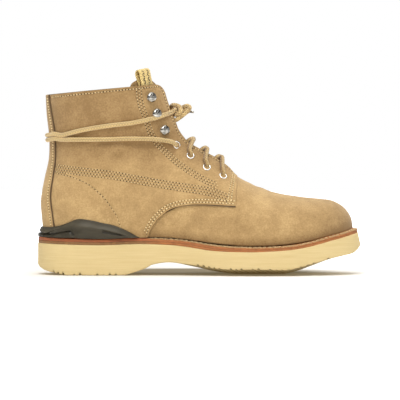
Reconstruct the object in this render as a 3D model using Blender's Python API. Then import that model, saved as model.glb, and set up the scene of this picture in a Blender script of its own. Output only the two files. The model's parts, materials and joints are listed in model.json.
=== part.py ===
"""Steel toe lace-up work boot for the right foot, built from its separate pieces.

Design coordinates are millimetres: x runs from the back of the heel to the toe, y is positive on
the inner (medial) side and negative on the outer (lateral) side, z is the height above the ground.
The scene is in metres with the origin on the ground under the middle of the heel tread.

The upper is cut from one reference surface, as a shoemaker cuts it round a last. Every leather or
lining layer is a region of that surface between two distances from it (positive is outwards).
"""

import math

import bmesh
import bpy
import numpy as np

# ---------------------------------------------------------------- driving dimensions, in mm
ORIGIN = np.array([52.0, 0.0, 0.0])
MM = 0.001
GAP = 0.3                       # air left between two neighbouring pieces

# Stations of the reference surface. Each is one section seen from the side as a straight line
# from its front or top end (tx, tz) to its back or lower end (fx, fz). wide is the largest
# half-width, at the share `at` of the way down, and square is the superellipse exponent.
STATIONS = [
    # tx,    tz,    fx,    fz,   wide,  at, square
    (115.5, 194.0, 9.5, 190.0, 38.5, 0.50, 2.2),
    (119.0, 180.0, 10.8, 171.0, 37.5, 0.50, 2.2),
    (123.0, 165.5, 11.8, 150.0, 36.5, 0.50, 2.2),
    (127.5, 153.5, 14.0, 129.0, 35.5, 0.50, 2.2),
    (131.5, 145.0, 13.6, 108.5, 34.5, 0.50, 2.2),
    (135.0, 139.0, 10.2, 89.0, 34.0, 0.52, 2.1),
    (138.2, 134.5, 8.0, 69.5, 34.0, 0.54, 2.1),
    (141.0, 131.2, 8.4, 51.0, 34.5, 0.56, 2.1),
    (143.5, 128.5, 9.5, 35.5, 34.5, 0.58, 2.1),
    (146.2, 126.0, 18.6, 35.3, 34.8, 0.60, 2.1),
    (149.5, 123.2, 40.5, 34.8, 35.0, 0.62, 2.1),
    (153.8, 120.2, 66.0, 34.2, 35.2, 0.62, 2.1),
    (159.2, 116.8, 92.0, 35.0, 35.4, 0.62, 2.0),
    (165.5, 113.0, 117.0, 35.2, 36.0, 0.62, 2.0),
    (172.5, 108.2, 141.0, 33.3, 38.2, 0.64, 1.9),
    (179.8, 101.5, 162.5, 30.5, 41.6, 0.66, 1.9),
    (187.5, 92.8, 184.0, 28.2, 45.4, 0.68, 1.9),
    (203.0, 85.2, 203.0, 27.4, 48.6, 0.70, 2.0),
    (225.0, 77.4, 226.0, 28.2, 49.6, 0.70, 2.1),
    (248.0, 73.4, 248.0, 30.8, 47.2, 0.70, 2.2),
]
COLLAR, HEEL_CORNER = 1, 8      # station numbers
HEEL_AXIS = (42.0, 0.0, 0.0)    # upright line that the heel is round about
TOE_START, TOE_TIP = 267.0, 296.0
TOE_TOP, TOE_TIP_Z = 71.4, 46.0
TOE_STEPS = 4

# Feather edge: where the upper meets the welt.
FEATHER_HEEL_X, FEATHER_HEEL_R = 9.5, 31.0
FEATHER_TOE_CENTRE = 230.0
FEATHER_WIDTH = ((40.5, 33.0), (66, 33.6), (92, 31.2), (117, 31.0), (141, 34.4), (162.5, 39.2),
                 (184, 43.2), (203, 46.4), (230, 47.6))
SEAT_HEIGHT = ((0, 35.4), (60, 34.0), (105, 35.3), (143, 33.1), (183, 28.2), (206, 27.3),
               (229, 28.4), (251, 31.2), (274, 37.2), (296, 46.0), (308, 51.0))
CENTRE_SHIFT = ((0, 0), (60, 0), (90, -2.0), (125, -4.0), (160, -4.0), (190, -2.5), (215, -0.5),
                (245, 2.5), (275, 4.0), (306, 4.5))
SHIFT_FADE = (60.0, 125.0)      # heights between which the shaft comes back to the middle

# Sole outline and profile.
SOLE_HEEL_R, SOLE_TOE_CENTRE, SOLE_TOE_R = 38.0, 225.0, 77.6
SOLE_WIDTH = ((38, 37.0), (60, 37.4), (90, 34.6), (120, 34.4), (150, 40.0), (180, 47.4),
              (205, 52.4), (225, 53.6))
SOLE_LENGTH = 305.0
SOLE_FLARE = SOLE_LENGTH / (SOLE_TOE_CENTRE + SOLE_TOE_R - 0.8)
SOLE_BOTTOM = ((0, 12.5), (7, 4.8), (20, 0), (82, 0), (94, 4.0), (107, 10.6), (120, 12.8),
               (148, 7.6), (170, 2.6), (190, 0), (232, 0), (245, 3.4), (258, 9.0), (272, 14.2),
               (289, 20.2), (306, 28.2))
CROWN = ((0, 0.0), (110, 0.0), (160, 2.6), (200, 3.6), (245, 3.2), (275, 1.6), (306, 0.8))
WELT_THICK, MIDSOLE_THICK = 3.1, 2.0
INSOLE_THICK, FOOTBED_THICK = 2.4, 4.0
TREAD_GROOVE = 1.6

# Layers of the upper, as distances from the reference surface.
QUARTER = (0.5, 2.3)
BACKSTAY = (2.8, 4.2)
STABILIZER = (3.2, 5.2)
VAMP = (-1.9, -0.1)
STIFFENER = (-1.9, -0.3)
COUNTER = (-1.9, -0.8)
LINING = (-3.75, -2.8)
TOE_CAP = (-4.4, -2.6)
TOE_LINING_DEPTH = 2.4          # how much deeper the lining runs under the steel cap
LINING_INSET = 0.008            # share by which the lining stops short of the facing's edge
LINING_LOOP_ROOM = 0.035        # and how much more it is cut back beside the pull loop
SEAT_CLEARANCE = 0.6            # air between the upper's lower edges and the welt
TONGUE_THICK = 1.7
TONGUE_HINGE = (190.0, 0.0, 83.5)       # where the tongue bends, at its sewn base
FOOTBED_HINGE = (282.0, 0.0, 45.0)      # where the loose footbed bends as its heel is lifted

# Cutting lines seen from the side, as (x, z).
QUARTER_LOWER_EDGE = ((104.5, 35.6), (106.5, 42), (113, 52), (124, 61), (136, 64.6), (150, 65.8),
                      (168, 65.2), (187.2, 63.8))
COUNTER_EDGE = ((9.0, 98.0), (20, 97.0), (33, 93.5), (45, 87.5), (57, 78.5), (67, 67.0),
                (74, 53.5), (78.5, 36.5))
STABILIZER_EDGE = ((7.5, 45.0), (17, 45.0), (27, 47.6), (34.5, 51.2), (41, 52.4), (52, 51.0),
                   (64, 48.6), (76, 44.8), (86, 40.6), (94.5, 36.6))
EYESTAY_EDGE = ((92.5, 172.5), (95.4, 158), (99.3, 143), (105, 131), (115, 121), (131, 110),
                (147, 101), (160, 93.5))
EYELETS = ((175.4, 95.6), (159.6, 103.6), (143.6, 113.8), (130.6, 124.0))
HOOKS = ((120.2, 137.4), (112.8, 153.6), (107.8, 168.2))
FACING_HALF_GAP = (13.5, 10.5)  # at the collar and at the throat
FACING_CORNER_R = 10.0
THROAT = 16.0                   # station of the front edge of the quarters

EYELET_BORE_R, EYELET_BARREL_R, EYELET_FLANGE_R = 2.3, 2.9, 4.2
EYELET_FLANGE_THICK = 0.6
RIVET_R, RIVET_HEAD_R = 1.5, 2.8
HOOK_BASE_R, HOOK_CAP_R, HOOK_CAP_LIFT = 4.2, 4.9, 4.4
LACE_R = 1.6
LACE_UNDER = -7.5               # where the lace runs under a facing
LACE_OVER = 5.5                 # and where it comes out over an eyelet


# ---------------------------------------------------------------- curves
def pchip(table, x):
    """Value at x of a smooth curve through the (x, value) pairs that never overshoots them."""
    knots, values = np.array(table, float).T
    step, rise = np.diff(knots), np.diff(values)
    slope = rise / step
    tangent = np.zeros(len(knots))
    tangent[0], tangent[-1] = slope[0], slope[-1]
    same = slope[:-1] * slope[1:] > 0
    left, right = 2 * step[1:] + step[:-1], step[1:] + 2 * step[:-1]
    with np.errstate(divide="ignore", invalid="ignore"):
        mean = (left + right) / (left / slope[:-1] + right / slope[1:])
    tangent[1:-1] = np.where(same, mean, 0.0)
    x = np.clip(np.asarray(x, float), knots[0], knots[-1])
    i = np.clip(np.searchsorted(knots, x, side="right") - 1, 0, len(step) - 1)
    t = (x - knots[i]) / step[i]
    return (values[i] * (1 + 2 * t) * (1 - t) ** 2 + values[i + 1] * t * t * (3 - 2 * t)
            + step[i] * (tangent[i] * t * (1 - t) ** 2 + tangent[i + 1] * t * t * (t - 1)))


def catmull(rows, u):
    """Point at u of a Catmull-Rom curve whose knots are rows 0, 1, 2 and so on."""
    rows = np.asarray(rows, float)
    padded = np.vstack([2 * rows[0] - rows[1], rows, 2 * rows[-1] - rows[-2]])
    u = np.clip(np.asarray(u, float), 0, len(rows) - 1)
    i = np.minimum(u.astype(int), len(rows) - 2)
    t = (u - i)[..., None]
    a, b, c, d = (padded[i + k] for k in range(4))
    return 0.5 * (2 * b + (c - a) * t + (2 * a - 5 * b + 4 * c - d) * t**2
                  + (3 * b - a - 3 * c + d) * t**3)


def along(points, count):
    """count points evenly spaced along a smooth curve through the given points."""
    dense = catmull(points, np.linspace(0, len(points) - 1, 24 * len(points)))
    run = np.concatenate([[0], np.cumsum(np.linalg.norm(np.diff(dense, axis=0), axis=1))])
    want = np.linspace(0, run[-1], count)
    return np.stack([np.interp(want, run, dense[:, k]) for k in range(dense.shape[1])], axis=1)


def smoothstep(low, high, x):
    t = np.clip((np.asarray(x, float) - low) / (high - low), 0, 1)
    return t * t * (3 - 2 * t)


def seat(x):
    """Height of the welt's top face."""
    return pchip(SEAT_HEIGHT, x)


def centre(x, z=0.0):
    """Sideways shift of the boot's middle: the toe turns inwards, the waist outwards."""
    return pchip(CENTRE_SHIFT, x) * (1 - smoothstep(*SHIFT_FADE, z))


def feather_width(x):
    """Half-width of the upper where it meets the welt."""
    x = np.asarray(x, float)
    heel = np.clip((FEATHER_HEEL_X + FEATHER_HEEL_R - x) / FEATHER_HEEL_R, 0, 1)
    toe = np.clip((x - FEATHER_TOE_CENTRE) / (TOE_TIP - FEATHER_TOE_CENTRE), 0, 1)
    return pchip(FEATHER_WIDTH, x) * np.sqrt(1 - heel**2) * np.sqrt(1 - toe**2)


def sole_width(x):
    x = np.asarray(x, float)
    heel = np.clip((SOLE_HEEL_R - x) / (SOLE_HEEL_R - 0.8), 0, 1)
    toe = np.clip((x - SOLE_TOE_CENTRE) / SOLE_TOE_R, 0, 1)
    return pchip(SOLE_WIDTH, x) * np.sqrt(1 - heel**2) * np.sqrt(1 - toe**2)


# ---------------------------------------------------------------- reference surface
def toe_stations():
    """Sections round the toe, closing to a point at its tip."""
    rows = []
    for k in range(TOE_STEPS + 1):
        turn = 0.5 * math.pi * k / TOE_STEPS
        x = TOE_START + (TOE_TIP - TOE_START) * math.sin(turn)
        top = TOE_TIP_Z + (TOE_TOP - TOE_TIP_Z) * math.cos(turn)
        wide = float(feather_width(x)) * (1.0 + 0.03 * math.cos(turn))
        rows.append((x, top, x, float(seat(x)), wide, 0.72, 2.3))
    return rows


ROWS = np.array(STATIONS + toe_stations())
LAST = len(ROWS) - 1


def ends(u):
    """Front end, back end, half-width, its place and the exponent of the sections at u."""
    whole = catmull(ROWS, u)
    back = catmull(ROWS[:HEEL_CORNER + 1, 2:4], np.minimum(u, HEEL_CORNER))
    under = catmull(ROWS[HEEL_CORNER:, 2:4], np.maximum(u - HEEL_CORNER, 0))
    foot = np.where((u < HEEL_CORNER)[..., None], back, under)
    return whole[..., 0:2], foot, np.maximum(whole[..., 4], 1e-4), whole[..., 5], whole[..., 6]


def half_width(u, share):
    """Half-width of the section at u, at a share of the way from its front to its back end."""
    _, foot, wide, at, square = ends(u)
    turn = np.clip((u - HEEL_CORNER) / 2, 0, 1) * 0.5 * math.pi
    open_end = np.where(u < HEEL_CORNER + 2, np.sin(turn) * FEATHER_WIDTH[0][1],
                        feather_width(foot[..., 0]))
    close = 1 - np.clip(open_end / wide, 0, 1) ** square
    front = np.clip(1 - share / at, 0, 1)
    rear = np.clip((share - at) / (1 - at), 0, 1)
    return (wide * np.maximum(1 - front**square, 0) ** (1 / square)
            * np.maximum(1 - close * rear**square, 0) ** (1 / square))


SHARES = 0.5 - 0.5 * np.cos(np.linspace(0, math.pi, 97))


def section_run(u):
    """Arc length along each section, at SHARES."""
    u = np.asarray(u, float)[:, None]
    tip, foot, *_ = ends(u)
    flat = tip + (foot - tip) * SHARES[None, :, None]
    y = half_width(np.repeat(u, len(SHARES), 1), SHARES[None, :])
    steps = np.sqrt((np.diff(flat, axis=1) ** 2).sum(-1) + np.diff(y, axis=1) ** 2)
    return np.concatenate([np.zeros((len(u), 1)), np.cumsum(steps, axis=1)], axis=1)


def base_point(u, w):
    """Surface point at station u and signed arc share w: 0 is the front, +-1 the back or feather."""
    u, w = np.broadcast_arrays(np.asarray(u, float), np.asarray(w, float))
    shape, u, w = u.shape, u.ravel(), w.ravel().copy()
    wrapped = (np.abs(w) > 1) & (u <= HEEL_CORNER)
    w = np.where(wrapped, w - 2 * np.sign(w), np.clip(w, -1, 1))
    run = section_run(u)
    share = np.array([np.interp(abs(b) * r[-1], r, SHARES) for b, r in zip(w, run)])
    tip, foot, *_ = ends(u)
    flat = tip + (foot - tip) * share[:, None]
    y = centre(flat[:, 0], flat[:, 1]) + np.sign(w) * half_width(u, share)
    return np.stack([flat[:, 0], y, flat[:, 1]], axis=1).reshape(*shape, 3)


def heel_share(u, w, x):
    """How far a place belongs to the round of the heel, where the sections run together."""
    return (smoothstep(0.6, 0.8, np.abs(w)) * smoothstep(HEEL_CORNER - 1.0, HEEL_CORNER - 0.2, u)
            * (1 - smoothstep(28.0, 44.0, x)))


def normal(u, w):
    """Outward unit normal of the reference surface, level and radial round the heel's foot."""
    u, w = np.broadcast_arrays(np.asarray(u, float), np.asarray(w, float))
    near = np.minimum(u, LAST - 0.03)
    inside = np.where(near > HEEL_CORNER, np.clip(w, -0.985, 0.985), w)
    du, dw = 0.02, 0.012
    across = base_point(near, inside + dw) - base_point(near, inside - dw)
    down = base_point(near + du, inside) - base_point(near - du, inside)
    n = np.cross(down, across)
    n /= np.maximum(np.linalg.norm(n, axis=-1, keepdims=True), 1e-9)
    here = base_point(u, w)
    radial = here - np.array(HEEL_AXIS)
    radial[..., 2] = 0.0
    radial /= np.maximum(np.linalg.norm(radial, axis=-1, keepdims=True), 1e-9)
    share = heel_share(u, w, here[..., 0])[..., None]
    n = n * (1 - share) + radial * share
    return n / np.maximum(np.linalg.norm(n, axis=-1, keepdims=True), 1e-9)


def offset_point(u, w, distance):
    """Point at a distance from the reference surface, kept clear of the welt's top face."""
    p = base_point(u, w) + normal(u, w) * np.asarray(distance, float)[..., None]
    p[..., 2] = np.maximum(p[..., 2], seat(p[..., 0]) + SEAT_CLEARANCE)
    return p


def locate(x, z):
    """(station, unsigned arc share) of a point given as it is seen from the side."""
    grid = np.linspace(0, LAST, 40 * LAST + 1)
    tip, foot, *_ = ends(grid)
    chord = foot - tip
    reach = np.array([x, z]) - tip
    side = chord[:, 0] * reach[:, 1] - chord[:, 1] * reach[:, 0]
    share = (reach * chord).sum(1) / np.maximum((chord**2).sum(1), 1e-9)
    hits = np.nonzero((side[:-1] * side[1:] <= 0) & (share[:-1] > -0.1) & (share[:-1] < 1.1))[0]
    i = hits[0]
    t = side[i] / (side[i] - side[i + 1]) if side[i] != side[i + 1] else 0.0
    u = grid[i] + t * (grid[i + 1] - grid[i])
    run = section_run([u])[0]
    here = float(np.clip(share[i] + t * (share[i + 1] - share[i]), 0, 1))
    return u, float(np.interp(here, SHARES, run) / run[-1])


def locate_all(points, count):
    """(station, arc share) rows of count points along a line drawn in the side view."""
    return np.array([locate(x, z) for x, z in along(points, count)])


def share_at_width(u, width):
    """Arc share, counted from the front, at which the section at u is this half-width."""
    run = section_run([u])[0]
    front = np.linspace(0, 0.5, 200)
    found = np.interp(width, half_width(np.full(200, float(u)), front), front)
    return float(np.interp(found, SHARES, run) / run[-1])


def section_length(u):
    return float(section_run([u])[0][-1])


# ---------------------------------------------------------------- meshes
def make_object(name, vertices, faces, material):
    """Mesh object from design coordinates. Coinciding points are joined, faces turned outwards."""
    mesh = bpy.data.meshes.new(name)
    bm = bmesh.new()
    made = [bm.verts.new((np.asarray(v, float) - ORIGIN) * MM) for v in vertices]
    for face in faces:
        if len(set(face)) > 2:
            bm.faces.new([made[i] for i in face])
    bmesh.ops.remove_doubles(bm, verts=bm.verts, dist=2e-6)
    bmesh.ops.recalc_face_normals(bm, faces=bm.faces)
    if bm.calc_volume(signed=True) < 0:
        bmesh.ops.reverse_faces(bm, faces=bm.faces)
    bm.to_mesh(mesh)
    bm.free()
    mesh.shade_smooth()
    mesh.set_sharp_from_angle(angle=math.radians(40))
    mesh.materials.append(material)
    obj = bpy.data.objects.new(name, mesh)
    bpy.context.scene.collection.objects.link(obj)
    return obj


def grid_faces(rows, columns, start=0, close_columns=False):
    """Quads between neighbouring rows of points."""
    quads = []
    for i in range(rows - 1):
        for j in range(columns if close_columns else columns - 1):
            k = (j + 1) % columns
            a, b = start + i * columns, start + (i + 1) * columns
            quads.append((a + j, a + k, b + k, b + j))
    return quads


def shell(name, u, w, near, far, material):
    """Closed sheet over a grid of surface positions, between two distances from the surface."""
    rows, columns = u.shape
    inner = offset_point(u, w, np.broadcast_to(near, u.shape)).reshape(-1, 3)
    outer = offset_point(u, w, np.broadcast_to(far, u.shape)).reshape(-1, 3)
    count = rows * columns
    faces = grid_faces(rows, columns, count)
    faces += [f[::-1] for f in grid_faces(rows, columns)]
    rim = [(0, j) for j in range(columns)] + [(i, columns - 1) for i in range(1, rows)]
    rim += [(rows - 1, j) for j in range(columns - 2, -1, -1)]
    rim += [(i, 0) for i in range(rows - 2, 0, -1)]
    loop = [i * columns + j for i, j in rim]
    for a, b in zip(loop, loop[1:] + loop[:1]):
        faces.append((a, b, b + count, a + count))
    return make_object(name, np.vstack([inner, outer]), faces, material)


def ruled(first, second, columns):
    """Grid of (station, share) between two lines with equal numbers of points."""
    t = np.linspace(0, 1, columns)[None, :, None]
    mixed = first[:, None, :] * (1 - t) + second[:, None, :] * t
    return mixed[..., 0], mixed[..., 1]


def slab(name, xs, half, top, bottom, material, columns=7, crown=None, flare=1.0):
    """Flat-lying piece: a row of cross-sections along x, closing to an edge at both ends."""
    middle = 0.5 * (xs[0] + xs[-1])
    across = np.linspace(-1, 1, columns)
    points = []
    for x in xs:
        lower_x = middle + (x - middle) * flare
        y = centre(x) + across * float(half(x))
        lower_y = centre(x) + across * float(half(x)) * flare
        lift = 0.0 if crown is None else float(crown(x)) * across**4
        points += [(x, b, float(top(x))) for b in y]
        low = float(bottom(lower_x))
        points += [(lower_x, b, low + float(c)) for b, c in
                   zip(lower_y[::-1], np.broadcast_to(lift, across.shape)[::-1])]
    ring = 2 * columns
    faces = grid_faces(len(xs), ring, 0, True)
    faces += [tuple(range(ring)), tuple(range((len(xs) - 1) * ring, len(xs) * ring))]
    return make_object(name, points, faces, material)


def ease_ends(low, high, count):
    """Positions from low to high that gather at both ends, for rounded outlines."""
    return low + (high - low) * (0.5 - 0.5 * np.cos(np.linspace(0, math.pi, count)))


def tube(name, path, radius, sides, material):
    """Round cord along a path, with flat ends."""
    path = np.asarray(path, float)
    tangent = np.gradient(path, axis=0)
    tangent /= np.linalg.norm(tangent, axis=1, keepdims=True)
    side = np.cross(tangent[0], (0.0, 0.0, 1.0))
    points = []
    for p, t in zip(path, tangent):
        side = side - t * (side @ t)
        side /= np.linalg.norm(side)
        up = np.cross(t, side)
        for k in range(sides):
            a = 2 * math.pi * k / sides
            points.append(p + radius * (side * math.cos(a) + up * math.sin(a)))
    faces = grid_faces(len(path), sides, 0, True)
    faces.append(tuple(range(sides)))
    faces.append(tuple(range((len(path) - 1) * sides, len(path) * sides)))
    return make_object(name, points, faces, material)


def axes_at(u, w):
    """Surface point with three axes: along the boot's front line, across it, and outwards."""
    origin = base_point(u, w)
    out = normal(u, w)
    down = base_point(u + 0.05, w) - base_point(u - 0.05, w)
    down -= out * (down @ out)
    down /= np.linalg.norm(down)
    return origin, down, np.cross(out, down), out


def turned(name, frame, profile, sides, material):
    """Piece turned round the outward axis of a frame, from (radius, height) pairs. A profile
    that starts and ends on the axis is solid, and a closed profile makes a ring."""
    origin, a, b, out = frame
    closed = profile[0] == profile[-1]
    rows = profile[:-1] if closed else profile
    points = []
    for k in range(sides):
        turn = 2 * math.pi * k / sides
        spoke = a * math.cos(turn) + b * math.sin(turn)
        points += [origin + spoke * r + out * h for r, h in rows]
    faces = []
    n = len(rows)
    for k in range(sides):
        here, there = k * n, ((k + 1) % sides) * n
        for i in range(n if closed else n - 1):
            j = (i + 1) % n
            faces.append((here + i, here + j, there + j, there + i))
    return make_object(name, points, faces, material)


def material(name, colour, roughness, metallic=0.0):
    made = bpy.data.materials.new(name)
    made.use_nodes = True
    shader = made.node_tree.nodes["Principled BSDF"]
    shader.inputs["Base Color"].default_value = (*colour, 1.0)
    shader.inputs["Roughness"].default_value = roughness
    shader.inputs["Metallic"].default_value = metallic
    made.diffuse_color = (*colour, 1.0)
    return made


def hang_on(obj, pivot):
    """Moves an object's origin to a point on its joint's axis, leaving its surface in place."""
    place = (np.asarray(pivot, float) - ORIGIN) * MM
    for vertex in obj.data.vertices:
        vertex.co = [a - b for a, b in zip(vertex.co, place)]
    obj.location = place


def cut(obj, cutter):
    modifier = obj.modifiers.new("holes", "BOOLEAN")
    modifier.operation = "DIFFERENCE"
    modifier.object = cutter


def as_cutter(obj):
    obj.hide_render = True
    obj.display_type = "WIRE"
    return obj


# ---------------------------------------------------------------- the upper
def facing_half_gap(u):
    """Half the width of the lacing gap, opened out where the top corner is rounded."""
    low, high = FACING_HALF_GAP
    gap = low + (high - low) * np.clip((u - COLLAR) / (THROAT - COLLAR), 0, 1)
    below = (u - COLLAR) * 15.0
    short = np.clip(FACING_CORNER_R - below, 0, FACING_CORNER_R)
    return gap + FACING_CORNER_R - math.sqrt(FACING_CORNER_R**2 - short**2)


def facing_line(stations):
    """Front edge of a quarter as (station, arc share) rows."""
    return np.array([(u, share_at_width(u, float(facing_half_gap(u)))) for u in stations])


def quarter_edges(side):
    """The front edge and the back, feather and lower edge of a quarter, matched row by row."""
    front = facing_line(np.concatenate([[1.0, 1.12, 1.3, 1.55], np.linspace(2, THROAT, 22)]))
    seam = [(u, 0.997) for u in (1.0, 1.6, 2.6, 3.6, 4.5, 5.3, 6.2, 7.1, 7.9)]
    lower_edge = locate_all(QUARTER_LOWER_EDGE, 10)
    feather = [(u, 1.0) for u in (8.15, 8.4, 8.75, 9.2, 9.9, 10.9, 11.9)]
    back = np.array(seam + feather + [tuple(r) for r in lower_edge])
    back[-1, 0] = THROAT
    return front * (1, side), back * (1, side)


def vamp_rear(share):
    """Station of the vamp's hidden rear edge, under the quarters, by arc share."""
    return 15.9 - 4.3 * smoothstep(0.12, 1.0, np.abs(share))


def build_quarter(name, side, material):
    front, back = quarter_edges(side)
    u, w = ruled(front, back, 15)
    return shell(name, u, w, *QUARTER, material)


def build_vamp(material):
    share = np.linspace(-1, 1, 25)
    ahead = np.linspace(0, 1, 17)[None, :]
    rear = vamp_rear(share)[:, None]
    u = rear + (LAST - rear) * ahead
    return shell("vamp", u, np.broadcast_to(share[:, None], u.shape), *VAMP, material)


def toe_depth(u):
    """How far the lining drops to run under the steel toe cap."""
    return -TOE_LINING_DEPTH * smoothstep(17.6, 18.9, u)


def build_vamp_lining(material):
    share = np.linspace(-1, 1, 25)
    ahead = np.linspace(0, 1, 14)[None, :]
    rear = vamp_rear(share)[:, None] + 0.3
    u = rear + (LAST - rear) * ahead
    w = np.broadcast_to(share[:, None], u.shape)
    drop = toe_depth(u)
    return shell("vamp_lining", u, w, LINING[0] + drop, LINING[1] + drop, material)


def build_toe_cap(material):
    share = np.linspace(-1, 1, 25)
    ahead = np.linspace(0, 1, 7)[None, :]
    rear = 19.2 - 0.4 * (1 - share[:, None] ** 2)
    u = rear + (LAST - rear) * ahead
    return shell("steel_toe_cap", u, np.broadcast_to(share[:, None], u.shape), *TOE_CAP, material)


def build_quarter_lining(name, side, material):
    front = facing_line(np.linspace(1.05, 15.6, 18))
    front[:, 1] += LINING_INSET + LINING_LOOP_ROOM * (1 - smoothstep(1.6, 3.2, front[:, 0]))
    seam = [(u, 0.985) for u in (1.05, 2, 3, 4, 5, 6, 7, 7.9)]
    feather = [(u, 1.0) for u in (8.8, 9.7, 10.6)]
    edge = np.linspace(1.0, front[-1, 1] + 0.12, 7)
    rear = [(float(vamp_rear(s)) - 0.05, s) for s in edge]
    back = np.array(seam + feather + rear)
    u, w = ruled(front * (1, side), back * (1, side), 8)
    return shell(name, u, w, *LINING, material)


def build_eyestay(name, side, material):
    rear = locate_all(EYESTAY_EDGE, 16)
    rear[0, 0] = max(rear[0, 0], 1.2)
    front = facing_line(np.linspace(rear[0, 0], 15.3, 16))
    u, w = ruled(front * (1, side), rear * (1, side), 4)
    return shell(name, u, w, *STIFFENER, material)


def around_heel(edge, count, bottom_end, lift):
    """Grid that wraps the heel: columns climb from the feather edge to a line seen from the side."""
    top = locate_all(edge, count)
    top[0, 1] = 1.0
    t = np.linspace(0, 1, count)
    start = HEEL_CORNER - 2 * lift
    low = np.stack([start + (bottom_end - start) * t**1.2, 1 - 0.27 * lift * smoothstep(0, 0.25, t)],
                   axis=1)
    return low, top


def wrap(low, top, columns):
    """Both sides of a heel piece as one grid, joined along the back line."""
    u, w = ruled(low, top, columns)
    lateral_u, lateral_w = u[::-1], -w[::-1]
    return (np.vstack([lateral_u[:-1], u]), np.vstack([lateral_w[:-1], w]))


def build_heel_counter(material):
    low, top = around_heel(COUNTER_EDGE, 14, 10.6, 0.45)
    u, w = wrap(low, top, 7)
    return shell("heel_counter", u, w, *COUNTER, material)


def build_heel_stabilizer(material):
    low, top = around_heel(STABILIZER_EDGE, 18, 11.9, 0.0)
    u, w = wrap(low, top, 5)
    rise = np.linspace(0, 1, 5)[None, :]
    thick = STABILIZER[1] - 1.3 * rise**2
    return shell("heel_stabilizer", u, w, STABILIZER[0], np.broadcast_to(thick, u.shape), material)


def build_backstay(material):
    stations = np.linspace(1.0, 7.3, 16)
    half = np.interp(stations, (1, 4, 7.3), (15.0, 16.5, 24.0))
    reach = np.array([h / section_length(s) for h, s in zip(half, stations)])
    across = np.linspace(-1, 1, 9)[None, :]
    w = 1 + reach[:, None] * across
    u = np.broadcast_to(stations[:, None], w.shape)
    return shell("backstay", u, w, *BACKSTAY, material)


def tongue_depth(u):
    """Distance of the tongue's outer face below the surface: it dives to clear the lace."""
    return -5.2 - 4.7 * smoothstep(1.0, 3.0, u) * (1 - smoothstep(15.3, 16.3, u))


def build_tongue(material):
    stations = np.concatenate([[0.25, 0.6, 1.0], np.linspace(1.6, 16.4, 17)])
    half = np.interp(stations, (0.25, 0.6, 1.0, 2.5, 5, 16.4), (27.0, 33.0, 38.0, 35.0, 27.0, 15.0))
    reach = np.array([h / section_length(s) for h, s in zip(half, stations)])
    across = np.linspace(-1, 1, 7)[None, :]
    w = reach[:, None] * across
    u = np.broadcast_to(stations[:, None], w.shape)
    far = tongue_depth(u)
    tongue = shell("tongue", u, w, far - TONGUE_THICK, far, material)
    hang_on(tongue, TONGUE_HINGE)


# ---------------------------------------------------------------- the sole unit
def seat_below(depth):
    return lambda x: float(seat(x)) - depth


def sole_bottom(x):
    return float(pchip(SOLE_BOTTOM, x))


def crown(x):
    """How much the edge of the tread lies above its middle."""
    return float(pchip(CROWN, x))


def tread_positions():
    """Positions along the sole, four for each groove across the heel and the forefoot."""
    xs = list(ease_ends(0.8, SOLE_TOE_CENTRE + SOLE_TOE_R, 34))
    for low, high, count in ((20.0, 80.0, 6), (150.0, 262.0, 11)):
        xs = [x for x in xs if not low - 3 < x < high + 3]
        for middle in np.linspace(low, high, count):
            xs += [middle - 1.6, middle - 1.0, middle + 1.0, middle + 1.6]
    return np.array(sorted(xs))


def in_groove(x):
    for low, high, count in ((20.0, 80.0, 6), (150.0, 262.0, 11)):
        if np.min(np.abs(np.linspace(low, high, count) - x)) < 1.3:
            return TREAD_GROOVE
    return 0.0


def build_outsole(material):
    xs = tread_positions()
    grooves = {round(x, 6): in_groove(x) for x in xs}
    middle = 0.5 * (xs[0] + xs[-1])

    def bottom(x):
        above = middle + (x - middle) / SOLE_FLARE
        return sole_bottom(x) + grooves[round(above, 6)]

    return slab("outsole", xs, sole_width, seat_below(WELT_THICK + MIDSOLE_THICK + 2 * GAP),
                bottom, material, columns=5, crown=crown, flare=SOLE_FLARE)


def build_midsole(material):
    xs = ease_ends(2.0, 300.8, 24)
    top = seat_below(WELT_THICK + GAP)
    bottom = seat_below(WELT_THICK + GAP + MIDSOLE_THICK)
    return slab("leather_midsole", xs, lambda x: sole_width(0.8 + (x - 2) * 301.8 / 298.8) * 0.985,
                top, bottom, material, columns=5)


def build_welt(material):
    """Strip of leather that runs right round the boot, level with the seat."""
    share = np.linspace(0, 1, 30)
    ease = 0.5 - 0.5 * np.cos(math.pi * share)
    outer_x = 1.6 + (301.4 - 1.6) * ease
    outer_y = np.maximum(sole_width(0.8 + (outer_x - 1.6) * 1.0067) - 0.4, 0)
    outer_y[[0, -1]] = 0
    from_x = FEATHER_HEEL_X + (TOE_TIP - FEATHER_HEEL_X) * ease
    inner_x = 17.0 + (288.0 - 17.0) * ease
    inner_y = feather_width(from_x) * 0.83
    loop = [(i, 1) for i in range(30)] + [(i, -1) for i in range(28, 0, -1)]
    points = []
    for i, side in loop:
        ox, ix = outer_x[i], inner_x[i]
        oy, iy = centre(ox) + side * outer_y[i], centre(ix) + side * inner_y[i]
        points += [(ox, oy, seat(ox)), (ox, oy, seat(ox) - WELT_THICK),
                   (ix, iy, seat(ix) - WELT_THICK), (ix, iy, seat(ix))]
    n = len(loop)
    faces = [(4 * i + j, 4 * i + (j + 1) % 4, 4 * ((i + 1) % n) + (j + 1) % 4,
              4 * ((i + 1) % n) + j) for i in range(n) for j in range(4)]
    return make_object("welt", points, faces, material)


def build_inner_slab(name, low, high, inset, top_gap, thick, material, square=False, count=17):
    """Piece inside the boot: an inset copy of the feather outline, or part of its length."""
    def half(x):
        if square:
            return feather_width(x) * inset
        at = FEATHER_HEEL_X + (x - low) * (TOE_TIP - FEATHER_HEEL_X) / (high - low)
        return feather_width(at) * inset
    xs = np.linspace(low, high, count) if square else ease_ends(low, high, count)
    return slab(name, xs, half, lambda x: float(seat(x)) + top_gap,
                lambda x: float(seat(x)) + top_gap - thick, material, columns=5)


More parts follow.
